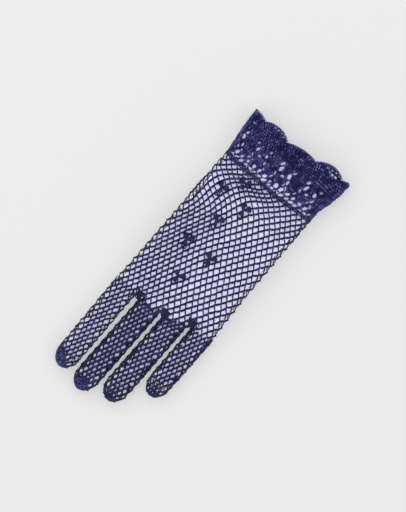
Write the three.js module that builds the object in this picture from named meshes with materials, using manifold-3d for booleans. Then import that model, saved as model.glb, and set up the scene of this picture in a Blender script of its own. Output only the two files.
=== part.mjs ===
import * as THREE from "three";
import { mergeVertices } from "three/addons/utils/BufferGeometryUtils.js";
import Module from "manifold-3d";

const wasm = await Module();
wasm.setup();

// A left-hand crochet glove lying palm down, in millimetres. +X is the index finger's side, +Y runs from
// the wrist to the fingertips and +Z is up. The origin is under the middle of the wrist, on the plane that
// the glove lies on.

// Cloth and clearances
const NET_WALL = 1.2;
const LACE_WALL = 1.6;
const CLEARANCE = 0.3;

// Hand
const HALF_WIDTH = 40;
const HAND_LENGTH = 118;
const HAND_HEIGHT = 16;
const HAND_FOLD = 5; // width of the rounded fold along each side

// Elastic band and cuff
const ELASTIC_WIDTH = 3.8;
const CUFF_LENGTH = 34; // from the elastic to the valleys of the rim, on the index side
const CUFF_FLARE = 43.5; // half the width at the rim
const CUFF_HEIGHT = 16.5;
const LACE_SHARE = 0.66; // how much of the cuff is the pierced band
const RUFFLE = 1.1; // how far the back of the rim rises between two valleys
const SCALLOP_DEPTH = 5;

// Fingers
const FINGER_HEIGHT = 10.6;
const FINGER_FOLD = 3.6;
const TIP_LENGTH = 11; // length over which a fingertip closes
const LITTLE_LENGTH = 57;
const RING_LENGTH = 74;
const MIDDLE_LENGTH = 78;
const INDEX_LENGTH = 75;
const LITTLE_WIDTH = 17.6;
const RING_WIDTH = 18;
const MIDDLE_WIDTH = 17.8;
const INDEX_WIDTH = 18.8;

// Thumb, folded under the palm
const THUMB_LENGTH = 60;
const THUMB_WIDTH = 20;
const THUMB_HEIGHT = 7;
const THUMB_CENTRE = 0.6125 * HALF_WIDTH; // from the middle of the hand
const THUMB_HEEL = 34; // from the wrist
const THUMB_MOUTH_WIDTH = 13;
const THUMB_MOUTH_LENGTH = 18;
const THUMB_RAMP = 8; // width of the slope where the palm climbs over the thumb

// Webs between the fingers
const WEB_WIDTH = 6;
const WEB_LENGTH = 5;

// Card
const CARD_THICKNESS = 0.5;
const CARD_MARGIN = 3.9; // from the outside of the hand to the edge of the card
const TONGUE_MARGIN = 3.5; // from the outside of a finger to the edge of its tongue of card
const CARD_DROP = 1; // from the inside of the back of the glove to the card, where the folds turn down
const CARD_IN_CUFF = 21.5;
const CARD_TIP_MARGIN = 12;
const CARD_SLIT_GAP = 0.8; // from the start of a slit between two tongues to the web above it

// Flowers
const PETAL_RADIUS = 2.3;
const PETAL_OFFSET = 2.5;
const FLOWER_HEIGHT = 1.8;
const PETAL_BEVEL = 0.8;

// Net gaps: width and height of one gap, and the spacing of a row
const NET_GAP = { width: 11, height: 17.5 };
const NET_PITCH = { across: 15.6, along: 24.4 };
const FINGER_GAP = { width: 8.5, height: 13 };
const FINGER_PITCH = 18;
const NET_MARGIN = 13.4; // from the wrist seam to the middle of the first row of gaps
const NET_STRAND = 2.5; // cloth left between a gap and a web or a mouth

// Round stretches
const FOLD_STEPS = 5;
const TIP_STEPS = 4;
const SCALLOP_STEPS = 8;
const PETAL_STEPS = 4;
const RUFFLE_STEPS = 18;

// Sections of the hand. along is a share of HAND_LENGTH from the wrist, little and index are the places of
// the two sides as shares of HALF_WIDTH, and rise is a share of HAND_HEIGHT.
const HAND_SECTIONS = [
  { along: 0.0, little: 1.0, index: 0.975, rise: 0.84 },
  { along: 0.13, little: 1.005, index: 0.98, rise: 0.93 },
  { along: 0.3, little: 1.015, index: 0.975, rise: 1.0 },
  { along: 0.6, little: 1.03, index: 0.965, rise: 1.0 },
  { along: 0.8, little: 1.06, index: 0.962, rise: 0.98 },
  { along: 0.865, little: 1.075, index: 0.962, rise: 0.84 },
  { along: 0.92, little: 1.085, index: 0.962, rise: 0.6625 },
  { along: 1.06, little: 1.09, index: 0.962, rise: 0.6625 },
];

// Sections of the cuff. along is a share of CUFF_LENGTH towards the rim, little and index are shares of
// CUFF_FLARE, and rise is a share of CUFF_HEIGHT.
const CUFF_SECTIONS = [
  { along: -0.12, little: 0.91, index: 0.885, rise: 0.815 },
  { along: 0.0, little: 0.91, index: 0.895, rise: 0.815 },
  { along: 0.28, little: 0.935, index: 0.93, rise: 0.85 },
  { along: 0.56, little: 0.985, index: 0.965, rise: 0.9 },
  { along: 0.84, little: 1.01, index: 0.985, rise: 0.96 },
  { along: 1.3, little: 1.02, index: 1.0, rise: 1.0 },
];

// Scallops of the rim, from the little finger's side. from and to are the valleys as shares of CUFF_FLARE,
// fromY and toY are how far those valleys lie from the wrist as shares of CUFF_LENGTH, and sag is a share
// of SCALLOP_DEPTH.
const SCALLOPS = [
  { from: -1.17, to: -0.846, fromY: 1.09, toY: 1.09, sag: 0.54 },
  { from: -0.846, to: -0.322, fromY: 1.09, toY: 1.03, sag: 1.0 },
  { from: -0.322, to: 0.23, fromY: 1.03, toY: 0.94, sag: 0.44 },
  { from: 0.23, to: 0.724, fromY: 0.94, toY: 0.97, sag: 0.76 },
  { from: 0.724, to: 1.28, fromY: 0.97, toY: 0.97, sag: 0.54 },
];

// Lace holes round the middle of each fan. across is a distance from that middle and along is one from the
// wrist, both as shares of CUFF_LENGTH, as width and height are.
const FAN_CENTRES = [-0.6, -0.07, 0.46]; // shares of CUFF_FLARE
const LACE_HOLES = [
  { across: 0.0, along: 0.31, width: 0.11, height: 0.07 },
  { across: -0.17, along: 0.28, width: 0.07, height: 0.11 },
  { across: 0.17, along: 0.28, width: 0.07, height: 0.11 },
  { across: 0.14, along: 0.43, width: 0.09, height: 0.13 },
];

// Where the roots of the fingers meet, as shares of HALF_WIDTH across and HAND_LENGTH along. The first and
// the last row are the outer sides of the hand.
const ROOTS = [
  { name: "little_side", across: -1.15, along: 0.93 },
  { name: "crotch_ring_little", across: -0.6125, along: 0.957 },
  { name: "crotch_middle_ring", across: -0.1, along: 1.017 },
  { name: "crotch_index_middle", across: 0.44, along: 1.03 },
  { name: "index_side", across: 1.15, along: 1.008 },
];

// Fingers. root and tip are the places of the middle line as shares of HALF_WIDTH, base is where the finger
// starts as a share of HAND_LENGTH, and slim is the width just under the tip as a share of the width at the
// root.
const LITTLE = { name: "little_finger", length: LITTLE_LENGTH, width: LITTLE_WIDTH };
const RING = { name: "ring_finger", length: RING_LENGTH, width: RING_WIDTH };
const MIDDLE = { name: "middle_finger", length: MIDDLE_LENGTH, width: MIDDLE_WIDTH };
const INDEX = { name: "index_finger", length: INDEX_LENGTH, width: INDEX_WIDTH };
const FINGERS = [
  { ...LITTLE, root: -0.87, tip: -0.876, base: 0.944, slim: 0.98 },
  { ...RING, root: -0.35, tip: -0.36, base: 0.987, slim: 1.04 },
  { ...MIDDLE, root: 0.174, tip: 0.17, base: 1.0235, slim: 1.0 },
  { ...INDEX, root: 0.725, tip: 0.684, base: 1.019, slim: 0.95 },
];

// Flowers, across as shares of HALF_WIDTH and along as shares of HAND_LENGTH, from the knuckles to the wrist.
const FLOWERS = [
  { across: 0.138, along: 0.775 },
  { across: -0.088, along: 0.576 },
  { across: 0.443, along: 0.576 },
  { across: 0.26, along: 0.369 },
  { across: 0.038, along: 0.215 },
  { across: 0.588, along: 0.202 },
  { across: 0.338, along: 0.092 },
];

// Colours and finishes
const FINISHES = {
  navy_net: { color: 0x25234f, roughness: 0.85, metalness: 0 },
  navy_lace: { color: 0x2c2c5e, roughness: 0.85, metalness: 0 },
  blue_elastic: { color: 0x33496f, roughness: 0.7, metalness: 0 },
  white_card: { color: 0xf2f1f7, roughness: 0.6, metalness: 0 },
};

// Places that several pieces share
const WRIST_SEAM = ELASTIC_WIDTH / 2;
const HAND_START = WRIST_SEAM + CLEARANCE / 2;
const CUFF_START = -WRIST_SEAM - CLEARANCE / 2;
const LACE_END = -CUFF_LENGTH * LACE_SHARE;
const THUMB_TIP = THUMB_HEEL + THUMB_LENGTH;
const THUMB_SIDE = THUMB_CENTRE - THUMB_WIDTH / 2 - CLEARANCE;
const TALL = 2 * Math.max(HAND_HEIGHT, CUFF_HEIGHT);
const WIDE = 3 * Math.max(HALF_WIDTH, CUFF_FLARE);

// A closed mesh as a solid that can be joined and cut.
function toSolid(geometry) {
  const bare = geometry.clone();
  bare.deleteAttribute("normal");
  bare.deleteAttribute("uv");
  const merged = mergeVertices(bare, 1e-4);
  return new wasm.Manifold(
    new wasm.Mesh({
      numProp: 3,
      vertProperties: merged.attributes.position.array,
      triVerts: new Uint32Array(merged.index.array),
    }),
  );
}

// A joined or cut solid as a mesh.
function toGeometry(solid) {
  const mesh = solid.getMesh();
  const geometry = new THREE.BufferGeometry();
  geometry.setAttribute("position", new THREE.BufferAttribute(mesh.vertProperties, 3));
  geometry.setIndex(new THREE.BufferAttribute(mesh.triVerts, 1));
  geometry.computeVertexNormals();
  return geometry;
}

// A value of a column of a table at a place in its ordered column, straight between two rows.
function between(rows, column, place, ordered = "along") {
  const last = rows.length - 1;
  const after = rows.findIndex((row) => row[ordered] >= place);
  if (after === 0) return rows[0][column];
  if (after === -1) return rows[last][column];
  const a = rows[after - 1];
  const b = rows[after];
  return THREE.MathUtils.mapLinear(place, a[ordered], b[ordered], a[column], b[column]);
}

// A closed skin over a row of rings with as many points each, with both ends capped.
function loft(rings) {
  const count = rings[0].length;
  const last = rings.length - 1;
  const middle = (ring) => ring.reduce((sum, p) => sum.add(p), new THREE.Vector3()).divideScalar(count);
  const points = [...rings.flat(), middle(rings[0]), middle(rings[last])];
  const startPole = rings.length * count;
  const endPole = startPole + 1;
  const faces = [];
  for (let i = 0; i < count; i++) {
    const next = (i + 1) % count;
    faces.push(startPole, i, next);
    faces.push(endPole, last * count + next, last * count + i);
    for (let r = 0; r < last; r++) {
      const a = r * count;
      const b = a + count;
      faces.push(a + i, b + i, b + next);
      faces.push(a + i, b + next, a + next);
    }
  }
  const geometry = new THREE.BufferGeometry().setFromPoints(points);
  geometry.setIndex(faces);
  return toSolid(geometry);
}

// One ring of a flat tube, round its four stretches: one fold, over the top, the other fold and along the
// underside. top and under give the height at a place across, over and below list the places across where
// those stretches bend, and inset moves the ring into the cloth.
function ring({ y, left, right, fold, over, below, top, under }, inset = 0) {
  const points = [];
  const arc = (x, side) => {
    const low = under(x) + inset;
    const high = top(x) - inset;
    for (let i = 0; i <= FOLD_STEPS; i++) {
      const angle = side * Math.PI * (i / FOLD_STEPS - 0.5);
      const out = side * (fold - inset) * Math.cos(angle);
      points.push(new THREE.Vector3(x + out, y, (low + high) / 2 + ((high - low) / 2) * Math.sin(angle)));
    }
  };
  arc(right - fold, 1);
  over.forEach((x) => points.push(new THREE.Vector3(x, y, top(x) - inset)));
  arc(left + fold, -1);
  below.forEach((x) => points.push(new THREE.Vector3(x, y, under(x) + inset)));
  return points;
}

// A hollow flat tube: its outside less its inside, which runs past an open end.
function hollow(sections, wall, openEnds) {
  const outside = loft(sections.map((section) => ring(section)));
  const inside = sections.map((section) => ring(section, wall));
  const past = (points, distance) => points.map((p) => p.clone().setY(p.y + distance));
  if (openEnds.start) inside.unshift(past(inside[0], -wall));
  if (openEnds.end) inside.push(past(inside[inside.length - 1], wall));
  return outside.subtract(loft(inside));
}

// An upright prism through the whole glove over an outline in plan.
function prism(outline) {
  const shape = new THREE.Shape(outline.map(([x, y]) => new THREE.Vector2(x, y)));
  const body = new THREE.ExtrudeGeometry(shape, { depth: 2 * TALL, bevelEnabled: false });
  return toSolid(body.translate(0, 0, -TALL));
}

// A diamond gap of the net.
const diamond = (x, y, { width, height }) =>
  prism([
    [x + width / 2, y],
    [x, y + height / 2],
    [x - width / 2, y],
    [x, y - height / 2],
  ]);

// How far the palm climbs over the thumb at a place: a slope on three sides and level over the thumb itself.
function palmLift(x, y) {
  const step = THREE.MathUtils.smoothstep;
  const across = step(x, THUMB_SIDE - THUMB_RAMP, THUMB_SIDE);
  const start = step(y, THUMB_HEEL - THUMB_RAMP - CLEARANCE, THUMB_HEEL - CLEARANCE);
  const end = 1 - step(y, THUMB_TIP + CLEARANCE, THUMB_TIP + THUMB_RAMP + CLEARANCE);
  return (THUMB_HEIGHT + CLEARANCE) * across * start * end;
}

// The outside of the hand at a distance from the wrist.
function handSection(y) {
  const along = y / HAND_LENGTH;
  const height = HAND_HEIGHT * between(HAND_SECTIONS, "rise", along);
  return {
    y,
    left: -HALF_WIDTH * between(HAND_SECTIONS, "little", along),
    right: HALF_WIDTH * between(HAND_SECTIONS, "index", along),
    fold: HAND_FOLD,
    over: [],
    below: [1, 0.5, 0].map((share) => THUMB_SIDE - share * THUMB_RAMP),
    top: () => height,
    under: (x) => palmLift(x, y),
  };
}

// The line where the hand ends and the fingers start, moved by a distance along the hand.
const rootLine = (distance) =>
  ROOTS.map(({ across, along }) => [across * HALF_WIDTH, along * HAND_LENGTH + distance]);

// The plan on one side of the root line: past it for cutting the hand, short of it for cutting the fingers.
const pastRoots = (distance) => [...rootLine(distance), [WIDE, WIDE * 3], [-WIDE, WIDE * 3]];
const shortOfRoots = (distance) => [...rootLine(distance).reverse(), [-WIDE, -WIDE], [WIDE, -WIDE]];

// The outline of a web between two fingers, in plan, grown by a distance.
function webOutline({ across, along }, grow) {
  const x = across * HALF_WIDTH;
  const y = along * HAND_LENGTH;
  const half = WEB_WIDTH / 2 + grow;
  return [
    [x - half, y - WEB_LENGTH + half / 2 - grow],
    [x - half / 2, y - WEB_LENGTH - grow],
    [x + half / 2, y - WEB_LENGTH - grow],
    [x + half, y - WEB_LENGTH + half / 2 - grow],
    [x + half, y + grow],
    [x - half, y + grow],
  ];
}

const webRoots = ROOTS.slice(1, -1);

// The room that the webs take up, with their clearance.
const webGaps = () => webRoots.map((root) => prism(webOutline(root, CLEARANCE)));

// The mouth of the thumb, in plan: an oblong with cut corners.
function thumbMouth() {
  const x = THUMB_MOUTH_WIDTH / 2;
  const start = THUMB_HEEL + NET_WALL * 2;
  const end = start + THUMB_MOUTH_LENGTH;
  const corner = THUMB_MOUTH_WIDTH / 4;
  return [
    [THUMB_CENTRE - x, start + corner],
    [THUMB_CENTRE - x + corner, start],
    [THUMB_CENTRE + x - corner, start],
    [THUMB_CENTRE + x, start + corner],
    [THUMB_CENTRE + x, end - corner],
    [THUMB_CENTRE + x - corner, end],
    [THUMB_CENTRE - x + corner, end],
    [THUMB_CENTRE - x, end - corner],
  ];
}

// Diamond gaps in offset rows between the wrist and the webs at the roots, clear of the folds.
function handGaps() {
  const gaps = [];
  const start = HAND_START + NET_MARGIN;
  const rows = Math.floor((HAND_LENGTH - start) / (NET_PITCH.along / 2));
  const reach = HALF_WIDTH - HAND_FOLD - NET_GAP.width / 2;
  const columns = Math.ceil(reach / NET_PITCH.across);
  for (let row = 0; row <= rows; row++) {
    const y = start + (row * NET_PITCH.along) / 2;
    for (let column = -columns; column <= columns; column++) {
      const x = (column + (row % 2) / 2) * NET_PITCH.across;
      const end = HAND_LENGTH * between(ROOTS, "along", x / HALF_WIDTH, "across") - WEB_LENGTH - NET_STRAND;
      if (Math.abs(x) <= reach && y + NET_GAP.height / 2 <= end) gaps.push(diamond(x, y, NET_GAP));
    }
  }
  return gaps;
}

// Where the rings of the hand lie: at the rows of its table and at both slopes over the thumb.
function handStations() {
  const rows = HAND_SECTIONS.slice(1).map(({ along }) => along * HAND_LENGTH);
  const rising = [1, 0.5, 0].map((share) => THUMB_HEEL - CLEARANCE - share * THUMB_RAMP);
  const falling = [0, 0.5, 1].map((share) => THUMB_TIP + CLEARANCE + share * THUMB_RAMP);
  return [HAND_START, ...rows, ...rising, ...falling].sort((a, b) => a - b);
}

function handBody() {
  const tube = hollow(handStations().map(handSection), NET_WALL, { start: true, end: true });
  const mouth = prism(thumbMouth()).intersect(underPalm());
  return [prism(pastRoots(0)), mouth, ...webGaps(), ...handGaps()].reduce((a, b) => a.subtract(b), tube);
}

// Everything below the inside of the hand, which a cut through the palm alone stays in.
function underPalm() {
  const level = (HAND_HEIGHT + THUMB_HEIGHT) / 2;
  const box = new THREE.BoxGeometry(2 * WIDE, 4 * WIDE, TALL);
  return toSolid(box.translate(0, 0, level - TALL / 2));
}

// Sections of a finger: straight down to its root, then round its tip.
function fingerSections({ root, tip, base, length, width, slim }) {
  const start = base * HAND_LENGTH;
  const tipStart = start + length - TIP_LENGTH;
  const section = (y, scale, flatness) => {
    const t = (y - start) / length;
    const centre = HALF_WIDTH * THREE.MathUtils.lerp(root, tip, t);
    const half = (width / 2) * THREE.MathUtils.lerp(1, slim, t) * scale;
    const middle = FINGER_HEIGHT / 2;
    return {
      y,
      left: centre - half,
      right: centre + half,
      fold: FINGER_FOLD * scale,
      over: [],
      below: [],
      top: () => middle + middle * flatness,
      under: () => middle - middle * flatness,
    };
  };
  const sections = [-0.2, 0.35, 1].map((t) => section(THREE.MathUtils.lerp(start, tipStart, t), 1, 1));
  for (let i = 1; i <= TIP_STEPS; i++) {
    const angle = (i / (TIP_STEPS + 0.4)) * (Math.PI / 2);
    const scale = Math.cos(angle);
    sections.push(section(tipStart + TIP_LENGTH * Math.sin(angle), scale, Math.sqrt(scale)));
  }
  return sections;
}

// Sections inside a finger's tip, which follow the outside at the thickness of the cloth.
function closedTube(sections, wall, openStart) {
  const outside = loft(sections.map((section) => ring(section)));
  const last = sections[sections.length - 1].y;
  const first = sections[0].y;
  const inside = sections.map((section) => {
    const nearTip = THREE.MathUtils.smoothstep(section.y, last - TIP_LENGTH, last);
    const nearHeel = openStart ? 0 : 1 - THREE.MathUtils.smoothstep(section.y, first, first + TIP_LENGTH);
    return ring({ ...section, y: section.y - wall * nearTip + wall * nearHeel }, wall);
  });
  if (openStart) inside[0].forEach((p) => p.setY(p.y - wall));
  return outside.subtract(loft(inside));
}

// Diamond gaps along the middle of a finger.
function fingerGaps({ root, tip, base, length }) {
  const gaps = [];
  const start = base * HAND_LENGTH + FINGER_PITCH / 2;
  const end = base * HAND_LENGTH + length - TIP_LENGTH - FINGER_GAP.height / 2;
  for (let y = start; y <= end; y += FINGER_PITCH) {
    const t = (y - base * HAND_LENGTH) / length;
    gaps.push(diamond(HALF_WIDTH * THREE.MathUtils.lerp(root, tip, t), y, FINGER_GAP));
  }
  return gaps;
}

function finger(row) {
  const tube = closedTube(fingerSections(row), NET_WALL, true);
  const cutters = [prism(shortOfRoots(CLEARANCE)), ...webGaps(), ...fingerGaps(row)];
  return cutters.reduce((a, b) => a.subtract(b), tube);
}

// Diamond gaps along the thumb, between its mouth and its tip.
function thumbGaps() {
  const gaps = [];
  const mouthEnd = THUMB_HEEL + 2 * NET_WALL + THUMB_MOUTH_LENGTH;
  const end = THUMB_TIP - TIP_LENGTH / 2 - FINGER_GAP.height / 2;
  for (let y = mouthEnd + NET_STRAND + FINGER_GAP.height / 2; y <= end; y += FINGER_PITCH) {
    gaps.push(diamond(THUMB_CENTRE, y, FINGER_GAP));
  }
  return gaps;
}

function thumb() {
  const section = (y, scale) => ({
    y,
    left: THUMB_CENTRE - (THUMB_WIDTH / 2) * scale,
    right: THUMB_CENTRE + (THUMB_WIDTH / 2) * scale,
    fold: FINGER_FOLD * scale,
    over: [],
    below: [],
    top: () => THUMB_HEIGHT,
    under: () => 0,
  });
  const sections = [];
  for (let i = TIP_STEPS; i >= 0; i--) {
    const angle = (i / (TIP_STEPS + 0.4)) * (Math.PI / 2);
    sections.push(section(THUMB_HEEL + TIP_LENGTH * (1 - Math.sin(angle)), Math.cos(angle)));
  }
  for (let i = 0; i <= TIP_STEPS; i++) {
    const angle = (i / (TIP_STEPS + 0.4)) * (Math.PI / 2);
    sections.push(section(THUMB_TIP - TIP_LENGTH * (1 - Math.sin(angle)), Math.cos(angle)));
  }
  const pouch = thumbGaps().reduce((a, b) => a.subtract(b), closedTube(sections, NET_WALL, false));
  const above = new THREE.BoxGeometry(2 * WIDE, 4 * WIDE, THUMB_HEIGHT);
  const mouth = prism(thumbMouth()).intersect(toSolid(above.translate(0, 0, THUMB_HEIGHT)));
  return pouch.subtract(mouth);
}

// The outside of the cuff at a distance from the wrist towards the rim.
function cuffSection(distance) {
  const along = distance / CUFF_LENGTH;
  const height = CUFF_HEIGHT * between(CUFF_SECTIONS, "rise", along);
  const ruffle = RUFFLE * THREE.MathUtils.clamp(along, 0, 1);
  const left = -CUFF_FLARE * between(CUFF_SECTIONS, "little", along);
  const right = CUFF_FLARE * between(CUFF_SECTIONS, "index", along);
  const over = [];
  for (let i = 1; i < RUFFLE_STEPS; i++) {
    over.push(THREE.MathUtils.lerp(right - HAND_FOLD, left + HAND_FOLD, i / RUFFLE_STEPS));
  }
  return {
    y: -distance,
    left,
    right,
    fold: HAND_FOLD,
    over,
    below: [],
    top: (x) => height + ruffle * rimBulge(x),
    under: () => 0,
  };
}

// The scallop that a place across lies in, and how far through it that is.
function scallopAt(x) {
  const share = x / CUFF_FLARE;
  const row = SCALLOPS.find(({ from, to }) => share >= from && share <= to);
  return { row, t: (share - row.from) / (row.to - row.from) };
}

// 0 in a valley of the rim and 1 in the middle of a scallop.
const rimBulge = (x) => Math.sin(Math.PI * scallopAt(x).t) ** 0.75;

// How far the rim lies from the wrist at a place across.
function rimY(x) {
  const { row, t } = scallopAt(x);
  const valleys = CUFF_LENGTH * THREE.MathUtils.lerp(row.fromY, row.toY, t);
  return -valleys - SCALLOP_DEPTH * row.sag * rimBulge(x);
}

// The plan past the rim, with the scallops as its edge.
function pastRim() {
  const edge = [];
  for (const { from, to } of SCALLOPS) {
    for (let i = 0; i < SCALLOP_STEPS; i++) {
      const x = CUFF_FLARE * THREE.MathUtils.lerp(from, to, i / SCALLOP_STEPS);
      edge.push([x, rimY(x)]);
    }
  }
  const end = edge[edge.length - 1][1];
  return prism([[-WIDE, -WIDE], [WIDE, -WIDE], [WIDE, end], ...edge.reverse()]);
}

// A band round the wrist or the cuff between two distances from the wrist, with rings from the far one to
// the near one.
function band(near, far, steps, wall) {
  const sections = [];
  for (let i = 0; i <= steps; i++) {
    sections.push(cuffSection(THREE.MathUtils.lerp(far, near, i / steps)));
  }
  return hollow(sections, wall, { start: true, end: true });
}

// An oval hole of the lace, cut with eight sides.
function laceHole(x, y, width, height) {
  const sides = 8;
  const outline = [];
  for (let i = 0; i < sides; i++) {
    const angle = (2 * Math.PI * i) / sides;
    outline.push([x + (width / 2) * Math.cos(angle), y + (height / 2) * Math.sin(angle)]);
  }
  return prism(outline);
}

function cuffLace() {
  const holes = FAN_CENTRES.flatMap((centre) =>
    LACE_HOLES.map(({ across, along, width, height }) =>
      laceHole(
        centre * CUFF_FLARE + across * CUFF_LENGTH,
        -along * CUFF_LENGTH,
        width * CUFF_LENGTH,
        height * CUFF_LENGTH,
      ),
    ),
  );
  const lace = band(-CUFF_START, -LACE_END, 2, LACE_WALL);
  return holes.reduce((a, b) => a.subtract(b), lace);
}

function scallopEdging() {
  const rim = CUFF_LENGTH * Math.max(...SCALLOPS.map(({ toY }) => toY)) + 2 * SCALLOP_DEPTH;
  return band(-LACE_END + CLEARANCE, rim, 2, LACE_WALL).subtract(pastRim());
}

const wristElastic = () => band(-WRIST_SEAM + CLEARANCE / 2, WRIST_SEAM - CLEARANCE / 2, 1, LACE_WALL);

// A web between two fingers, from the palm to the back of the hand.
function web(root) {
  const height = handSection(root.along * HAND_LENGTH).top();
  const shape = new THREE.Shape(webOutline(root, 0).map(([x, y]) => new THREE.Vector2(x, y)));
  return toSolid(new THREE.ExtrudeGeometry(shape, { depth: height, bevelEnabled: false }));
}

// The height of the card's upper side at a distance from the wrist.
function cardLevel(y) {
  if (y > 0) return handSection(y).top() - NET_WALL - CARD_DROP;
  const cuffTop = CUFF_HEIGHT * between(CUFF_SECTIONS, "rise", -y / CUFF_LENGTH);
  return cuffTop - LACE_WALL - CARD_DROP;
}

// A strip of card between two distances from the wrist, that follows the back of the glove.
function cardStrip(stations, sides) {
  const rings = stations.map((y) => {
    const [left, right] = sides(y);
    const high = cardLevel(y);
    const low = high - CARD_THICKNESS;
    return [
      new THREE.Vector3(right, y, low),
      new THREE.Vector3(right, y, high),
      new THREE.Vector3(left, y, high),
      new THREE.Vector3(left, y, low),
    ];
  });
  return loft(rings);
}

// Where a slit of the card starts, just under a web.
const slitStart = ({ along }) => along * HAND_LENGTH - WEB_LENGTH - CARD_SLIT_GAP;

function stiffenerCard() {
  const stations = HAND_SECTIONS.slice(1, -2).map(({ along }) => along * HAND_LENGTH);
  const palmEnd = stations[stations.length - 1];
  const bend = -CUFF_LENGTH * CUFF_SECTIONS[2].along;
  const palm = cardStrip([-CARD_IN_CUFF, bend, 0, ...stations], (y) => {
    const { left, right } = y > 0 ? handSection(y) : cuffSection(-y);
    return [left + CARD_MARGIN, right - CARD_MARGIN];
  });
  const bends = HAND_SECTIONS.slice(-2).map(({ along }) => along * HAND_LENGTH);
  const tongues = FINGERS.map(({ root, tip, base, length, width }, i) => {
    const end = base * HAND_LENGTH + length - CARD_TIP_MARGIN;
    const sides = (y) => {
      const t = THREE.MathUtils.clamp((y - base * HAND_LENGTH) / length, 0, 1);
      const centre = HALF_WIDTH * THREE.MathUtils.lerp(root, tip, t);
      return [-1, 1].map((side) => {
        const web = ROOTS[side < 0 ? i : i + 1];
        if (webRoots.includes(web) && y <= slitStart(web)) {
          return web.across * HALF_WIDTH + (side * CARD_THICKNESS) / 2;
        }
        return centre + side * (width / 2 - TONGUE_MARGIN);
      });
    };
    const slits = webRoots.filter((web) => web === ROOTS[i] || web === ROOTS[i + 1]).map(slitStart);
    const steps = slits.map((y) => y + CARD_THICKNESS);
    const lengthwise = [palmEnd - CARD_THICKNESS, ...bends, ...slits, ...steps, end];
    return cardStrip(lengthwise.sort((a, b) => a - b), sides);
  });
  return tongues.reduce((a, b) => a.add(b), palm);
}

// A flower of three petals, lying on the back of the hand. The first petal points to the fingers.
function flowerGeometry() {
  const petals = [0, 1, 2].map((i) => {
    const angle = Math.PI / 2 + (2 * Math.PI * i) / 3;
    const shape = new THREE.Shape();
    shape.absarc(0, 0, PETAL_RADIUS - PETAL_BEVEL, 0, 2 * Math.PI);
    const petal = new THREE.ExtrudeGeometry(shape, {
      depth: FLOWER_HEIGHT - 2 * PETAL_BEVEL,
      curveSegments: PETAL_STEPS,
      bevelThickness: PETAL_BEVEL,
      bevelSize: PETAL_BEVEL,
      bevelSegments: 1,
    });
    const place = new THREE.Vector3(Math.cos(angle), Math.sin(angle), 0).multiplyScalar(PETAL_OFFSET);
    return toSolid(petal.translate(place.x, place.y, PETAL_BEVEL));
  });
  return toGeometry(petals.reduce((a, b) => a.add(b)));
}

const glove = new THREE.Group();

function addPiece(name, geometry, finish) {
  const mesh = new THREE.Mesh(geometry, new THREE.MeshStandardMaterial(FINISHES[finish]));
  mesh.name = name;
  glove.add(mesh);
  return mesh;
}

addPiece("hand_body", toGeometry(handBody()), "navy_net");
for (const row of FINGERS) {
  addPiece(row.name, toGeometry(finger(row)), "navy_net");
}
addPiece("thumb", toGeometry(thumb()), "navy_net");
for (const root of webRoots) {
  addPiece(root.name, toGeometry(web(root)), "navy_lace");
}
addPiece("wrist_elastic", toGeometry(wristElastic()), "blue_elastic");
addPiece("cuff_lace", toGeometry(cuffLace()), "navy_lace");
addPiece("scallop_edging", toGeometry(scallopEdging()), "navy_lace");
addPiece("stiffener_card", toGeometry(stiffenerCard()), "white_card");

FLOWERS.forEach(({ across, along }, i) => {
  const flower = addPiece("flower_" + (i + 1), flowerGeometry(), "navy_lace");
  const y = along * HAND_LENGTH;
  const reach = PETAL_OFFSET + PETAL_RADIUS;
  const back = (d) => handSection(y + d).top();
  const rise = back(reach) - back(-reach);
  const clear = Math.max(...[-reach, 0, reach].map((d) => back(d) - (rise * d) / (2 * reach)));
  flower.position.set(across * HALF_WIDTH, y, clear + CLEARANCE);
  flower.rotation.x = Math.atan2(rise, 2 * reach);
});

export default glove;
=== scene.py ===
"""Looks of a left-hand crochet net glove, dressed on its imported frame.

The cloth is worked the way the real one is: strokes of yarn are laid on flat tubes, as open net on
the hand and the fingers and as close stitches on the cuff and the fingertips. Sizes are in
millimetres, and a mesh is written in metres.
"""

import logging
import math
from dataclasses import dataclass, field, replace
from enum import Enum
from typing import ClassVar

import bmesh
import bpy
import numpy as np
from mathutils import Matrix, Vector


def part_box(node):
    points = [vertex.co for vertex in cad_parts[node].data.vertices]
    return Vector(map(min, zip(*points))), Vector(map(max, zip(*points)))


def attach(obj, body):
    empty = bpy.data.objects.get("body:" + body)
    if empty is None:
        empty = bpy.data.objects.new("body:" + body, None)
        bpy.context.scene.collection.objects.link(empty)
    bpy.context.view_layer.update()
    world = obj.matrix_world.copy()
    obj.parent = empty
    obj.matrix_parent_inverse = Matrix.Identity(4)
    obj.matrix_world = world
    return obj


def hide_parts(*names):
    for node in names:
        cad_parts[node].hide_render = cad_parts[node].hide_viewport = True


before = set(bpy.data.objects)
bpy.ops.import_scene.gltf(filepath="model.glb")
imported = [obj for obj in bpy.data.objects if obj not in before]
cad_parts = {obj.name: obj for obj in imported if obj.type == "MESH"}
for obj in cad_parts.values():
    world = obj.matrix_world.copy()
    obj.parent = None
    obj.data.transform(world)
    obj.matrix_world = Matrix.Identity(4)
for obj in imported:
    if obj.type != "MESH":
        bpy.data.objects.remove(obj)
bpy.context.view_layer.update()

LOG = logging.getLogger("crochet_glove")
MM = 0.001
SEED = 11

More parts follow.
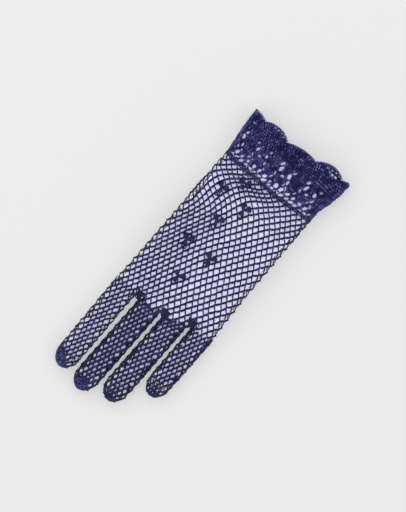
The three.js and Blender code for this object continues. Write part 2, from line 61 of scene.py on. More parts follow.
# Sizes that the solids share
HALF_WIDTH = 40.0
HAND_LENGTH = 118.0
HAND_HEIGHT = 16.0
HAND_FOLD = 5.0
CUFF_LENGTH = 34.0
CUFF_FLARE = 43.5
CUFF_HEIGHT = 16.5
LACE_SHARE = 0.66
RUFFLE = 1.1
SCALLOP_DEPTH = 5.0
FINGER_HEIGHT = 10.6
FINGER_FOLD = 3.6
TIP_LENGTH = 11.0
TIP_END = 0.985  # how much of the way over a fingertip its cloth runs
POD_END = 0.97  # the same at the ends of a pouch
POD_ROUND = 0.3  # how full those ends are: 1 is round
THUMB_LENGTH = 60.0
THUMB_WIDTH = 20.0
THUMB_HEIGHT = 7.0
THUMB_CENTRE = 24.5
THUMB_HEEL = 34.0
THUMB_RAMP = 8.0
THUMB_MOUTH = (13.0, 18.0)
THUMB_RIM = 2.4
CLEARANCE = 0.3
WEB_WIDTH = 6.0

# Yarn and stitches
YARN = 0.6  # radius of a strand of the net
NET_ROW = 3.65  # from one row of knots to the next
STITCH_ROW = 1.98  # height of a short stitch
STITCH_WIDTH = 1.5
REST = 0.3  # how far up the yarn is pressed where it rests
FINER = 0.4  # radius of the underside's yarn past the card, as a share of its own
PAINTED_SHADE_TONE = -2.2  # how light the inner side of close work is, which shows between its stitches: painted shade, far darker than its yarn
THINNEST = 0.1  # least height of a tube
LEAST_FOLD = 0.15  # least share of a fold that is left under the yarn
NUDGE = (0.0005, 0.1)  # steps that a slope is taken over: share of the way round, mm along

Arrays = tuple[np.ndarray, ...]


@dataclass(frozen=True)
class Columns:
    """How many columns of stitches each stretch of a flat tube holds."""

    top: float
    fold: float
    under: float

    @property
    def total(self) -> float:
        """The columns all the way round."""
        return self.top + 2 * self.fold + self.under

    @property
    def ends(self) -> np.ndarray:
        """Where the top, the first fold and the underside end."""
        return np.cumsum([self.top, self.fold, self.under])


class Side(Enum):
    """The two faces of a flat tube."""

    BACK = "back"
    PALM = "palm"


def smooth(x: np.ndarray, low: float, high: float) -> np.ndarray:
    """A smooth step from 0 at low to 1 at high."""
    t = np.clip((x - low) / (high - low), 0.0, 1.0)
    return t * t * (3 - 2 * t)


def unit(vectors: np.ndarray) -> np.ndarray:
    """Vectors of length 1 the same way."""
    return vectors / np.maximum(np.linalg.norm(vectors, axis=-1, keepdims=True), 1e-9)


def pairs(u: np.ndarray, v: np.ndarray | float) -> np.ndarray:
    """Columns and distances side by side, in a row for each place."""
    return np.stack(np.broadcast_arrays(u, v), axis=-1)


def quarter(length: float, half: float) -> float:
    """About how long a quarter of an ellipse is."""
    return math.pi / 2 * math.sqrt((length**2 + half**2) / 2)


def section(table: np.ndarray, share: np.ndarray, column: int) -> np.ndarray:
    """A column of a table of sections, taken between its rows."""
    return np.interp(share, table[:, 0], table[:, column])


def fold_angle(share: np.ndarray) -> np.ndarray:
    """How far round a fold its columns lie: they keep nearly the width that they have on the flat.

    Args:
        share: shares of the fold's columns, from above to below.

    Returns:
        Angles from a quarter turn to minus a quarter turn.
    """
    evenly = math.pi * (0.5 - share)
    as_flat = np.copysign(np.arccos(1 - np.abs(1 - 2 * share)), 0.5 - share)
    return 0.45 * evenly + 0.55 * as_flat


class FlatTube:
    """The outside of a flat tube of cloth, wrapped in columns of stitches.

    A place on it is a column, counted from the little finger's side over the top and back along the
    underside, and a distance along the tube.
    """

    columns: Columns
    square: ClassVar[float] = 0.66  # how boxy its folds are: 1 is round

    def outline(self, v: np.ndarray) -> Arrays:
        """The place along the hand, the left side, the right side and the width of the folds."""
        raise NotImplementedError

    def top(self, x: np.ndarray, v: np.ndarray) -> np.ndarray:
        """Height of the upper side."""
        raise NotImplementedError

    def under(self, x: np.ndarray, v: np.ndarray) -> np.ndarray:
        """Height of the underside."""
        return np.zeros_like(x)

    def spread(self, share: np.ndarray) -> np.ndarray:
        """Where a share of the upper side's columns lies, as a share of its width."""
        return share

    def place(self, u: np.ndarray, v: np.ndarray, sink: float = YARN) -> np.ndarray:
        """Points on the tube.

        Args:
            u: columns.
            v: distances along the tube.
            sink: how far under the outside the points lie.

        Returns:
            One row of x, y and z for each place.
        """
        y, left, right, fold = self.outline(v)
        u = np.mod(u, self.columns.total)
        ends = self.columns.ends
        inner_left, inner_right = left + fold, right - fold
        flat = inner_right - inner_left
        over = inner_left + flat * self.spread(np.clip(u / ends[0], 0, 1))
        back = inner_right - flat * np.clip((u - ends[1]) / self.columns.under, 0, 1)
        on_right = u < (ends[1] + ends[2]) / 2
        hinge = np.where(on_right, inner_right, inner_left)
        right_angle = fold_angle(np.clip((u - ends[0]) / self.columns.fold, 0, 1))
        left_angle = math.pi + fold_angle(np.clip((u - ends[2]) / self.columns.fold, 0, 1))
        angle = np.where(on_right, right_angle, left_angle)
        high = self.top(hinge, v) - sink
        low = self.under(hinge, v) + sink
        out = np.copysign(np.abs(np.cos(angle)) ** self.square, np.cos(angle))
        fold_x = hinge + np.maximum(fold - sink, LEAST_FOLD * fold) * out
        fold_z = (high + low) / 2 + np.maximum(high - low, THINNEST) / 2 * np.sin(angle)
        stretches = [u < ends[0], (u >= ends[1]) & (u < ends[2])]
        x = np.select(stretches, [over, back], fold_x)
        z = np.select(stretches, [self.top(over, v) - sink, self.under(back, v) + sink], fold_z)
        return np.stack([x, y, z], axis=-1)

    def frames(self, u: np.ndarray, v: np.ndarray, sink: float) -> Arrays:
        """Points on the tube and the directions straight out of it.

        Args:
            u: columns.
            v: distances along the tube.
            sink: how far under the outside the points lie.

        Returns:
            The points and as many unit vectors.
        """
        du, dv = NUDGE[0] * self.columns.total, NUDGE[1]
        across = self.place(u + du, v, sink) - self.place(u - du, v, sink)
        along = self.place(u, v + dv, sink) - self.place(u, v - dv, sink)
        return self.place(u, v, sink), unit(np.cross(across, along))

    def girth(self, v: float) -> float:
        """The way round the tube at a distance along it.

        Args:
            v: distances along the tube.

        Returns:
            The way round in mm.
        """
        u = np.linspace(0, self.columns.total, 121)
        ring = self.place(u, np.full_like(u, v))
        return float(np.linalg.norm(np.diff(ring, axis=0), axis=1).sum())


# Sections of the hand: share of the length, little finger's side, index finger's side, height
HAND_SECTIONS = np.array(
    [
        (0.0, 1.0, 0.975, 0.84),
        (0.13, 1.005, 0.98, 0.93),
        (0.3, 1.015, 0.975, 1.0),
        (0.6, 1.03, 0.965, 1.0),
        (0.8, 1.06, 0.962, 0.98),
        (0.865, 1.075, 0.962, 0.84),
        (0.92, 1.085, 0.962, 0.6625),
        (1.06, 1.09, 0.962, 0.6625),
    ]
)

# Sections of the cuff: share of the length towards the rim, then as above
CUFF_SECTIONS = np.array(
    [
        (-0.12, 0.91, 0.885, 0.815),
        (0.0, 0.91, 0.895, 0.815),
        (0.28, 0.914, 0.93, 0.85),
        (0.56, 0.975, 0.965, 0.9),
        (0.84, 1.01, 0.985, 0.96),
        (1.3, 1.02, 1.0, 1.0),
    ]
)

# Scallops of the rim: from and to as shares of the flare, how far both valleys lie from the wrist, sag
SCALLOPS = np.array(
    [
        (-1.17, -0.846, 1.09, 1.09, 0.54),
        (-0.846, -0.322, 1.09, 1.03, 1.0),
        (-0.322, 0.23, 1.03, 0.94, 0.44),
        (0.23, 0.724, 0.94, 0.97, 0.76),
        (0.724, 1.28, 0.97, 0.97, 0.54),
    ]
)

# Where the roots of the fingers meet, across and along the hand
ROOTS = np.array([(-1.15, 0.93), (-0.6125, 0.957), (-0.1, 1.017), (0.44, 1.03), (1.15, 1.008)])


def root_line(x: np.ndarray) -> np.ndarray:
    """How far from the wrist the hand ends at a place across."""
    return np.interp(x, ROOTS[:, 0] * HALF_WIDTH, ROOTS[:, 1] * HAND_LENGTH)


def palm_lift(x: np.ndarray, y: np.ndarray) -> np.ndarray:
    """How far the palm climbs over the thumb at a place.

    Args:
        x: places across.
        y: distances along the hand.

    Returns:
        The lift in mm.
    """
    side = THUMB_CENTRE - THUMB_WIDTH / 2 - CLEARANCE
    start, end = THUMB_HEEL - CLEARANCE, THUMB_HEEL + THUMB_LENGTH + CLEARANCE
    along = smooth(y, start - THUMB_RAMP, start) * (1 - smooth(y, end, end + THUMB_RAMP))
    return (THUMB_HEIGHT + CLEARANCE) * smooth(x, side - THUMB_RAMP, side) * along


def in_thumb_mouth(points: np.ndarray) -> np.ndarray:
    """Which points lie in the mouth of the thumb, seen from above: an oval with nearly square ends.

    Args:
        points: the points.

    Returns:
        A mask over the points.
    """
    width, length = THUMB_MOUTH
    across = (points[:, 0] - THUMB_CENTRE) / (width / 2)
    along = (points[:, 1] - THUMB_HEEL - THUMB_RIM - length / 2) / (length / 2)
    return across**4 + along**4 < 1


# How the net is drawn out of true on the back of the hand: places across, and how far its rows move
# towards the fingers there over the lower and over the upper part of the hand
DRAWN_ACROSS = (-40.0, -20.0, 0.0, 14.0, 25.0, 34.0, 40.0)
DRAWN_LOW = (-4.6, -5.6, -6.3, -5.0, -1.0, 2.6, 3.0)
DRAWN_HIGH = (-5.2, -3.6, -1.8, -0.4, 1.0, 1.8, 2.2)
DRAWN_FROM = 30.0  # how far from the wrist the lower drawing is full
DRAWN_CHANGE = (60.0, 118.0)  # where it turns into the upper one
# Near the wrist its columns are drawn over to the index finger's side: columns, and by how many
GATHER_AT = (0.0, 3.0, 6.0, 13.0, 15.0, 18.0, 36.0)
GATHERED = (0.0, 0.1, 0.6, 3.0, 3.2, 3.2, 0.0)
GATHER_END = (12.0, 48.0)  # how far from the wrist that starts to fade and is gone
PRESSED = 8.0  # mm of its rows that the elastic pushes up on the index finger's side
PRESSED_END = 22.0  # how far from the wrist that is gone
PRESSED_ACROSS = (-24.0, 8.0)  # where across it starts and is full
# Columns are wide on the little finger's side of the back: shares of the columns and of the width
SPREAD = ((0.0, 0.5375, 0.6625, 1.0), (0.0, 0.58, 0.70, 1.0))


class HandTube(FlatTube):
    """The palm and the back of the hand."""

    columns = Columns(top=16, fold=2, under=16)
    square = 1.0
    crease = 4.2  # mm across that the net takes to turn under at each side

    def outline(self, v: np.ndarray) -> Arrays:
        """Where the hand's two sides lie."""
        left, right = (HALF_WIDTH * section(HAND_SECTIONS, v / HAND_LENGTH, side) for side in (1, 2))
        return v, -left, right, np.full_like(v, self.crease)

    def top(self, x: np.ndarray, v: np.ndarray) -> np.ndarray:
        """Height of the back of the hand."""
        return HAND_HEIGHT * section(HAND_SECTIONS, v / HAND_LENGTH, 3)

    def under(self, x: np.ndarray, v: np.ndarray) -> np.ndarray:
        """Height of the palm, which climbs over the thumb."""
        return palm_lift(x, v)

    def spread(self, share: np.ndarray) -> np.ndarray:
        """Columns are wide on the little finger's side and pulled together near the index finger."""
        return np.interp(share, *SPREAD)

    def backness(self, u: np.ndarray) -> np.ndarray:
        """1 on the back of the hand, 0 on the palm and between the two on the folds.

        Args:
            u: columns.

        Returns:
            A share for each column.
        """
        u = np.mod(u, self.columns.total)
        ends = self.columns.ends
        falling = 1 - smooth(u, ends[0], ends[1])
        rising = smooth(u, ends[2], self.columns.total)
        return np.where(u < ends[1], falling, rising)

    def place(self, u: np.ndarray, v: np.ndarray, sink: float = YARN) -> np.ndarray:
        """Points on the hand, with the net drawn out of true on its back.

        Args:
            u: columns.
            v: distances along the tube.
            sink: how far under the outside the points lie.

        Returns:
            The points.
        """
        gathered = np.interp(np.mod(u, self.columns.total), GATHER_AT, GATHERED)
        u = u + gathered * (1 - smooth(v, *GATHER_END))
        x = super().place(u, v, sink)[..., 0]
        back = self.backness(u)
        low = np.interp(x, DRAWN_ACROSS, DRAWN_LOW) * np.clip(v / DRAWN_FROM, 0, 1)
        high = np.interp(x, DRAWN_ACROSS, DRAWN_HIGH)
        pressed = PRESSED * (1 - smooth(v, -PRESSED, PRESSED_END)) * smooth(x, *PRESSED_ACROSS)
        moved = v + back * (low + pressed + (high - low) * smooth(v, *DRAWN_CHANGE))
        return super().place(u, moved, sink)


def scallop_bulge(x: np.ndarray) -> Arrays:
    """The rim's scallops at places across.

    Args:
        x: places across.

    Returns:
        0 in a valley and 1 in the middle of a scallop, and how far the rim lies from the wrist.
    """
    share = np.clip(x / CUFF_FLARE, SCALLOPS[0, 0], SCALLOPS[-1, 1] - 1e-6)
    row = np.clip(np.searchsorted(SCALLOPS[:, 0], share, side="right") - 1, 0, len(SCALLOPS) - 1)
    start, end, start_y, end_y, sag = SCALLOPS[row].T
    t = (share - start) / (end - start)
    bulge = np.sin(math.pi * t) ** 0.75
    return bulge, CUFF_LENGTH * (start_y + (end_y - start_y) * t) + SCALLOP_DEPTH * sag * bulge


REPEAT = 14.0  # columns from the middle of one fan of the cuff to the next
COLUMN = 23.0 / REPEAT  # width in mm of one of them
FAN_CENTRE = -0.075 * CUFF_FLARE
FAN_DEPTH = 10.0  # how far from the wrist the columns of the fans are counted
FANS_ROUND = 8  # fans all the way round


class CuffTube(FlatTube):
    """The cuff from the elastic to the rim. Distances run away from the fingers."""

    columns = Columns(top=46.25, fold=9.75, under=46.25)

    def outline(self, v: np.ndarray) -> Arrays:
        """Where the cuff's two sides lie."""
        left, right = (CUFF_FLARE * section(CUFF_SECTIONS, -v / CUFF_LENGTH, side) for side in (1, 2))
        return v, -left, right, np.full_like(v, HAND_FOLD)

    def top(self, x: np.ndarray, v: np.ndarray) -> np.ndarray:
        """Height of the back of the cuff, which rises between the valleys of the rim."""
        height = CUFF_HEIGHT * section(CUFF_SECTIONS, -v / CUFF_LENGTH, 3)
        return height + RUFFLE * np.clip(-v / CUFF_LENGTH, 0, 1) * scallop_bulge(x)[0]

    def column_at(self, x: float, v: float) -> float:
        """The column that passes over a place on the upper side."""
        _, left, right, fold = (float(part[0]) for part in self.outline(np.array([v])))
        return (x - left - fold) / (right - left - 2 * fold) * self.columns.top

    def fan_column(self) -> float:
        """The column in the middle of the middle fan."""
        return self.column_at(FAN_CENTRE, -FAN_DEPTH)


@dataclass(frozen=True)
class FingerTube(FlatTube):
    """A finger. Distances run from its root along the cloth, over the tip."""

    root: float
    tip: float
    base: float
    length: float
    width: float
    slim: float
    columns: Columns
    twist: float = 0.0  # columns that the net winds round it in a millimetre
    height: float = FINGER_HEIGHT

    @property
    def straight(self) -> float:
        """How long the finger is before its tip closes."""
        return self.length - TIP_LENGTH

    @property
    def arc(self) -> float:
        """The way from there over the tip to its end."""
        return quarter(TIP_LENGTH, self.width / 2)

    @property
    def reach(self) -> float:
        """The whole way along the cloth."""
        return self.straight + self.arc

    def closing(self, v: np.ndarray) -> np.ndarray:
        """The angle round the tip: 0 where it starts to close."""
        return np.clip((v - self.straight) / self.arc, 0, TIP_END) * math.pi / 2

    def outline(self, v: np.ndarray) -> Arrays:
        """Where the finger's two sides lie.

        Args:
            v: distances along the tube.

        Returns:
            The place along the hand, the left side, the right side and the width of the folds.
        """
        angle = self.closing(v)
        y = self.base * HAND_LENGTH + np.minimum(v, self.straight) + TIP_LENGTH * np.sin(angle)
        t = (y - self.base * HAND_LENGTH) / self.length
        centre = HALF_WIDTH * (self.root + (self.tip - self.root) * t)
        half = self.width / 2 * (1 + (self.slim - 1) * t) * np.cos(angle)
        return y, centre - half, centre + half, FINGER_FOLD * np.cos(angle)

    def top(self, x: np.ndarray, v: np.ndarray) -> np.ndarray:
        """Height of the back of the finger."""
        return self.height / 2 * (1 + np.sqrt(np.cos(self.closing(v))))

    def under(self, x: np.ndarray, v: np.ndarray) -> np.ndarray:
        """Height of the finger's underside."""
        return self.height / 2 * (1 - np.sqrt(np.cos(self.closing(v))))

    def place(self, u: np.ndarray, v: np.ndarray, sink: float = YARN) -> np.ndarray:
        """Points on the finger, with the net wound a little round it."""
        return super().place(u + self.twist * v, v, sink)


@dataclass(frozen=True)
class PodTube(FlatTube):
    """A flat pouch that closes at both ends, such as the thumb or a web. Distances run along its cloth."""

    centre: float
    start: float
    length: float
    width: float
    height: float
    fold: float
    closing: float
    columns: Columns

    @property
    def arc(self) -> float:
        """The way round one closed end."""
        return quarter(self.closing, self.width / 2)

    @property
    def reach(self) -> float:
        """The whole way along the cloth."""
        return self.length - 2 * self.closing + 2 * self.arc

    def angle(self, v: np.ndarray) -> np.ndarray:
        """The angle round an end: 0 on the straight part, below 0 at the start and above 0 at the tip.

        Args:
            v: distances along the tube.

        Returns:
            The angle in radians.
        """
        late = np.clip((v - (self.reach - self.arc)) / self.arc, 0, POD_END)
        early = np.clip((self.arc - v) / self.arc, 0, POD_END)
        return (late - early) * math.pi / 2

    def outline(self, v: np.ndarray) -> Arrays:
        """Where the pouch's two sides lie.

        Args:
            v: distances along the tube.

        Returns:
            The place along the hand, the left side, the right side and the width of the folds.
        """
        angle = self.angle(v)
        middle = np.clip(v - self.arc, 0, self.length - 2 * self.closing)
        y = self.start + self.closing + middle + self.closing * np.sin(angle)
        half = self.width / 2 * np.cos(angle)
        return y, self.centre - half, self.centre + half, self.fold * np.cos(angle)

    def top(self, x: np.ndarray, v: np.ndarray) -> np.ndarray:
        """Height of the upper side."""
        return self.height * (0.5 + 0.5 * np.cos(self.angle(v)) ** POD_ROUND)

    def under(self, x: np.ndarray, v: np.ndarray) -> np.ndarray:
        """Height of the underside."""
        return self.height * (0.5 - 0.5 * np.cos(self.angle(v)) ** POD_ROUND)


@dataclass(frozen=True)
class Disc(FlatTube):
    """An open patch of cloth, such as a flower lies on.

    Columns are angles in turns, and distances run outwards.
    """

    centre: tuple[float, float, float]
    cloth: FlatTube | None = None  # the cloth that it follows, with its level counted from there

    def place(self, u: np.ndarray, v: np.ndarray, sink: float = 0.0) -> np.ndarray:
        """Points round the middle of the patch.

        Args:
            u: angles in turns.
            v: distances from the middle.
            sink: not used, as the patch is one thin layer.

        Returns:
            The points.
        """
        x = self.centre[0] + v * np.cos(2 * math.pi * u)
        y = self.centre[1] + v * np.sin(2 * math.pi * u)
        level = self.centre[2] + (self.cloth.top(x, y) if self.cloth else 0.0)
        return np.stack([x, y, np.zeros_like(x) + level], axis=-1)

    def frames(self, u: np.ndarray, v: np.ndarray, sink: float) -> Arrays:
        """Points round the middle of the patch, and straight up."""
        points = self.place(u, v)
        return points, np.broadcast_to(np.array([0.0, 0.0, 1.0]), points.shape)


class Template:
    """One stroke of yarn as a spindle with rounded ends, ready to be laid along a path."""

    def __init__(self, sides: int, divisions: int) -> None:
        """Makes the spindle.

        Args:
            sides: faces round it.
            divisions: faces from end to end.
        """
        bm = bmesh.new()
        uv_layer = bm.loops.layers.uv.new("yarn")
        bmesh.ops.create_uvsphere(bm, u_segments=sides, v_segments=divisions, radius=1, calc_uvs=True)
        bm.verts.ensure_lookup_table()
        # The operator gives its faces in another order each run, so they are sorted
        faces = sorted(bm.faces, key=lambda face: [v.index for v in face.verts])
        co = np.array([v.co for v in bm.verts])
        turn = np.arccos(np.clip(-co[:, 2], -1, 1)) / math.pi
        self.station = np.rint(turn * divisions).astype(int)
        self.angle = np.arctan2(co[:, 1], co[:, 0])
        self.stations = np.linspace(0, 1, divisions + 1)
        self.totals = np.array([len(f.verts) for f in faces])
        self.loops = np.array([v.index for f in faces for v in f.verts])
        self.uv = np.array([tuple(loop[uv_layer].uv) for f in faces for loop in f.loops])
        self.count = len(co)
        bm.free()


@dataclass
class Strokes:
    """Strokes of yarn on a tube, with their shape in millimetres."""

    start: np.ndarray  # columns and distances
    end: np.ndarray
    radius: np.ndarray | float = YARN
    bow: np.ndarray | float = 0.0  # how far the middle lies to the side
    lift: float = 0.0  # how far up the stroke lies
    arch: float = 0.0  # how much further up its middle lies
    flat: float = 0.85  # thickness as a share of width
    lumps: int = 3
    dip: float = 0.22  # how much thinner it is between its lumps
    tone: float = 0.0  # how much lighter it is

    @property
    def middle(self) -> np.ndarray:
        """The columns and distances of the strokes' middles."""
        return (self.start + self.end) / 2

    def kept(self, keep: np.ndarray) -> "Strokes":
        """Only the strokes that a mask keeps."""
        arrays = {name: value[keep] for name, value in vars(self).items() if isinstance(value, np.ndarray)}
        return replace(self, **arrays)

    def middles(self, tube: FlatTube) -> np.ndarray:
        """The places of the strokes' middles."""
        return tube.place(*self.middle.T)


STRAND = Template(sides=6, divisions=8)
STITCH = Template(sides=6, divisions=6)
KNOT = Template(sides=6, divisions=4)
LINK = Template(sides=5, divisions=3)


@dataclass
class YarnWork:
    """A piece of crochet: strokes are laid one group at a time, then written as one mesh."""

    name: str
    rng: np.random.Generator
    points: list[np.ndarray] = field(default_factory=list)
    loops: list[np.ndarray] = field(default_factory=list)
    totals: list[np.ndarray] = field(default_factory=list)
    uvs: list[np.ndarray] = field(default_factory=list)
    tones: list[np.ndarray] = field(default_factory=list)
    count: int = 0
    rounded: ClassVar[float] = 0.28  # how slowly a stroke thins to its ends: 1 is a spindle

    def lay(self, tube: FlatTube, strokes: Strokes, template: Template, sink: float = YARN) -> None:
        """Lays strokes of yarn along their paths.

        Args:
            tube: the tube that they lie on.
            strokes: their ends and shapes.
            template: the spindle that each of them is.
            sink: how far under the outside of the tube the yarn's middle lies.
        """
        number = len(strokes.start)
        if number == 0:
            return
        t = template.stations
        swell = np.sin(math.pi * t)
        bow, width = (np.reshape(value, (-1, 1)) for value in (strokes.bow, strokes.radius))
        u, v = (strokes.start[:, i : i + 1] + (strokes.end - strokes.start)[:, i : i + 1] * t for i in (0, 1))
        centre, normal = (part.reshape(number, len(t), 3) for part in tube.frames(u.ravel(), v.ravel(), sink))
        chord = centre[:, -1:] - centre[:, :1]
        rise = strokes.lift + strokes.arch * swell
        centre = centre + normal * rise[:, None] + np.cross(normal, unit(chord)) * (bow * swell)[..., None]
        tangent = unit(np.gradient(centre, axis=1))
        side = unit(np.cross(normal, tangent))
        up = np.cross(tangent, side)
        waist = 1 - strokes.dip * np.cos(math.pi * strokes.lumps * t) ** 2
        profile = np.broadcast_to(width * waist * swell**self.rounded, (number, len(t)))
        s = template.station
        cosine, sine = np.cos(template.angle)[:, None], np.sin(template.angle)[:, None]
        ring = cosine * side[:, s] + strokes.flat * sine * up[:, s]
        points = centre[:, s] + profile[:, s][..., None] * ring
        offsets = self.count + np.arange(number)[:, None] * template.count
        uv = np.broadcast_to(template.uv, (number, *template.uv.shape)).copy()
        uv[..., 1] *= np.linalg.norm(chord, axis=-1)
        tone = strokes.tone + self.rng.uniform(-1, 1, number)
        self.points.append(points.reshape(-1, 3))
        self.loops.append((offsets + template.loops).ravel())
        self.totals.append(np.tile(template.totals, number))
        self.uvs.append(uv.reshape(-1, 2))
        self.tones.append(np.repeat(tone, template.count))
        self.count += number * template.count

    def finish(self, material: bpy.types.Material, slot: str, *stands_for: str) -> None:
        """Writes the laid yarn as one object on the frame, pressed flat where it would sink below the rest.

        Args:
            material: what the yarn is made of.
            slot: the record's material slot; not used.
            stands_for: CAD nodes that this piece replaces.
        """
        points = np.concatenate(self.points)
        z = points[:, 2]
        points[:, 2] = np.where(z < REST, REST * np.exp(np.minimum(z / REST - 1, 0)), z)
        points *= MM
        loops = np.concatenate(self.loops)
        totals = np.concatenate(self.totals)
        mesh = bpy.data.meshes.new(self.name)
        mesh.vertices.add(len(points))
        mesh.vertices.foreach_set("co", points.astype(np.float32).ravel())
        mesh.loops.add(len(loops))
        mesh.loops.foreach_set("vertex_index", loops.astype(np.int32))
        mesh.polygons.add(len(totals))
        mesh.polygons.foreach_set("loop_start", (np.cumsum(totals) - totals).astype(np.int32))
        mesh.polygons.foreach_set("use_smooth", np.ones(len(totals), bool))
        uv = mesh.uv_layers.new(name="yarn")
        uv.data.foreach_set("uv", np.concatenate(self.uvs).astype(np.float32).ravel())
        tone = mesh.attributes.new("tone", "FLOAT", "POINT")
        tone.data.foreach_set("value", np.concatenate(self.tones).astype(np.float32))
        mesh.update(calc_edges=True)
        mesh.validate()
        mesh.materials.append(material)
        piece = bpy.data.objects.new(self.name, mesh)
        bpy.context.scene.collection.objects.link(piece)
        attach(piece, "root")
        if stands_for:
            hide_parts(*stands_for)
        LOG.info("%s: %d triangles", self.name, (totals - 2).sum())


def linear(value: str) -> tuple[float, float, float, float]:
    """An sRGB hex colour as linear red, green and blue, with an alpha of 1."""
    parts = [int(value[i : i + 2], 16) / 255 for i in (0, 2, 4)]
    return (*(p / 12.92 if p <= 0.04045 else ((p + 0.055) / 1.055) ** 2.4 for p in parts), 1.0)


MATH = "ShaderNodeMath"
WEIGHED = "MULTIPLY_ADD"
NOISE = "ShaderNodeTexNoise"


def add_node(
    tree: bpy.types.NodeTree, kind: str, settings: dict | None = None, **links: object
) -> bpy.types.Node:
    """Adds a node with its settings and links.

    Args:
        tree: the material's node tree.
        kind: the node's type.
        settings: values by attribute, or by input where no attribute has that name.
        links: sockets by input name, with underscores for spaces, or by _ and an input's number. A
            node stands for its first output.

    Returns:
        The new node.
    """
    node = tree.nodes.new(kind)
    for name, value in (settings or {}).items():
        if isinstance(name, str) and hasattr(node, name):
            setattr(node, name, value)
        else:
            node.inputs[name].default_value = value
    for name, source in links.items():
        socket = source.outputs[0] if isinstance(source, bpy.types.Node) else source
        key = int(name[1:]) if name[0] == "_" else name.replace("_", " ")
        tree.links.new(socket, node.inputs[key])
    return node


def new_material(name: str, **values: object) -> tuple[bpy.types.Material, bpy.types.Node]:
    """Makes a material, with values on its shader's own sockets.

    Args:
        name: what it is made of.
        values: the shader's inputs by name, with underscores for spaces.

    Returns:
        The material and its shader.
    """
    material = bpy.data.materials.new(name)
    material.use_nodes = True
    shader = material.node_tree.nodes["Principled BSDF"]
    for key, value in values.items():
        shader.inputs[key.replace("_", " ")].default_value = value
    return material, shader


@dataclass(frozen=True)
class YarnFinish:
    """Mercerised cotton crochet yarn: two plies with a soft shine and fine fibres that catch the light."""

    name: str
    deep: str
    body: str
    light: str
    roughness: float = 0.62
    ply: float = 1.1  # mm from one turn of the plies to the next
    uneven: float = 0.1  # how much one stitch differs from the next
    cloud: ClassVar[float] = 6.0  # mm across a cloud of the dye
    fibre: ClassVar[float] = 0.35  # mm between fibres, coarser than the real ones so that they show
    relief: ClassVar[float] = 0.12  # mm that the plies stand out

    def make(self) -> bpy.types.Material:
        """Builds the yarn's material.

        Returns:
            The material.
        """
        material, shader = new_material(
            self.name,
            Roughness=self.roughness,
            Sheen_Weight=0.05,
            Sheen_Roughness=0.45,
            Sheen_Tint=linear(self.light),
            Specular_IOR_Level=0.2,
            IOR=1.53,
        )
        tree = material.node_tree
        place = add_node(tree, "ShaderNodeTexCoord").outputs["Object"]
        tone = add_node(tree, "ShaderNodeAttribute", {"attribute_name": "tone"})
        cloud, fibre = (
            add_node(tree, NOISE, {"Scale": 1 / (size * MM), "Detail": detail}, Vector=place)
            for size, detail in ((self.cloud, 2.0), (self.fibre, 3.0))
        )
        uv = add_node(tree, "ShaderNodeUVMap", {"uv_map": "yarn"})
        split = add_node(tree, "ShaderNodeSeparateXYZ", Vector=uv)
        turns = add_node(tree, MATH, {"operation": "MULTIPLY", 1: 1 / self.ply}, _0=split.outputs["Y"])
        twist = add_node(tree, MATH, {"operation": "ADD"}, _0=turns, _1=split.outputs["X"])
        around = add_node(tree, MATH, {"operation": "MULTIPLY", 1: 4 * math.pi}, _0=twist)
        ply = add_node(tree, MATH, {"operation": "SINE"}, _0=around)
        shades = {"operation": WEIGHED, 1: self.uneven, 2: 0.1}
        shade = add_node(tree, MATH, shades, _0=tone.outputs["Fac"])
        mottle = add_node(tree, MATH, {"operation": WEIGHED, 1: 0.75}, _0=cloud.outputs["Fac"], _2=shade)
        # The plies' twist also tints the colour, darker in their grooves and lighter on their crowns: painted
        # shade and highlight
        tint = add_node(tree, MATH, {"operation": WEIGHED, 1: 0.14}, _0=ply, _2=mottle)
        ramp = add_node(tree, "ShaderNodeValToRGB", Fac=tint)
        low, high = ramp.color_ramp.elements
        low.position, low.color = 0.15, linear(self.deep)
        high.position, high.color = 0.95, linear(self.light)
        ramp.color_ramp.elements.new(0.5).color = linear(self.body)
        tree.links.new(ramp.outputs["Color"], shader.inputs["Base Color"])
        rough = {"operation": WEIGHED, 1: 0.5}
        relief = add_node(tree, MATH, rough, _0=fibre.outputs["Fac"], _2=ply)
        heights = {"Strength": 0.5, "Distance": self.relief * MM}
        bump = add_node(tree, "ShaderNodeBump", heights, Height=relief)
        tree.links.new(bump.outputs["Normal"], shader.inputs["Normal"])
        return material


@dataclass(frozen=True)
class CardFinish:
    """Bleached paperboard, calendered: near white, with a faint felt mark and soft specks of pulp."""

    name: str
    colour: str
    shade: str
    painted_glow: str  # painted light: a faint lavender glow that brightens the card as if more light reached it through the net
    pulp: ClassVar[float] = 1.5  # mm across a speck
    felt: ClassVar[float] = 0.4  # mm across the felt's mark
    relief: ClassVar[float] = 0.03  # mm that it is deep

    def make(self) -> bpy.types.Material:
        """Builds the card's material.

        Returns:
            The material.
        """
        painted_glow = linear(self.painted_glow)
        # Its emission is painted light: a glow that brightens the card as if more light reached it
        material, shader = new_material(
            self.name, Roughness=0.55, IOR=1.5, Emission_Color=painted_glow, Emission_Strength=0.25
        )
        tree = material.node_tree
        place = add_node(tree, "ShaderNodeTexCoord").outputs["Object"]
        pulp, felt = (
            add_node(tree, NOISE, {"Scale": 1 / (size * MM), "Detail": detail}, Vector=place)
            for size, detail in ((self.pulp, 4.0), (self.felt, 2.0))
        )
        ramp = add_node(tree, "ShaderNodeValToRGB", Fac=pulp.outputs["Fac"])
        low, high = ramp.color_ramp.elements
        low.position, low.color = 0.25, linear(self.shade)
        high.position, high.color = 0.6, linear(self.colour)
        tree.links.new(ramp.outputs["Color"], shader.inputs["Base Color"])
        heights = {"Strength": 0.25, "Distance": self.relief * MM}
        bump = add_node(tree, "ShaderNodeBump", heights, Height=felt.outputs["Fac"])
        tree.links.new(bump.outputs["Normal"], shader.inputs["Normal"])
        return material


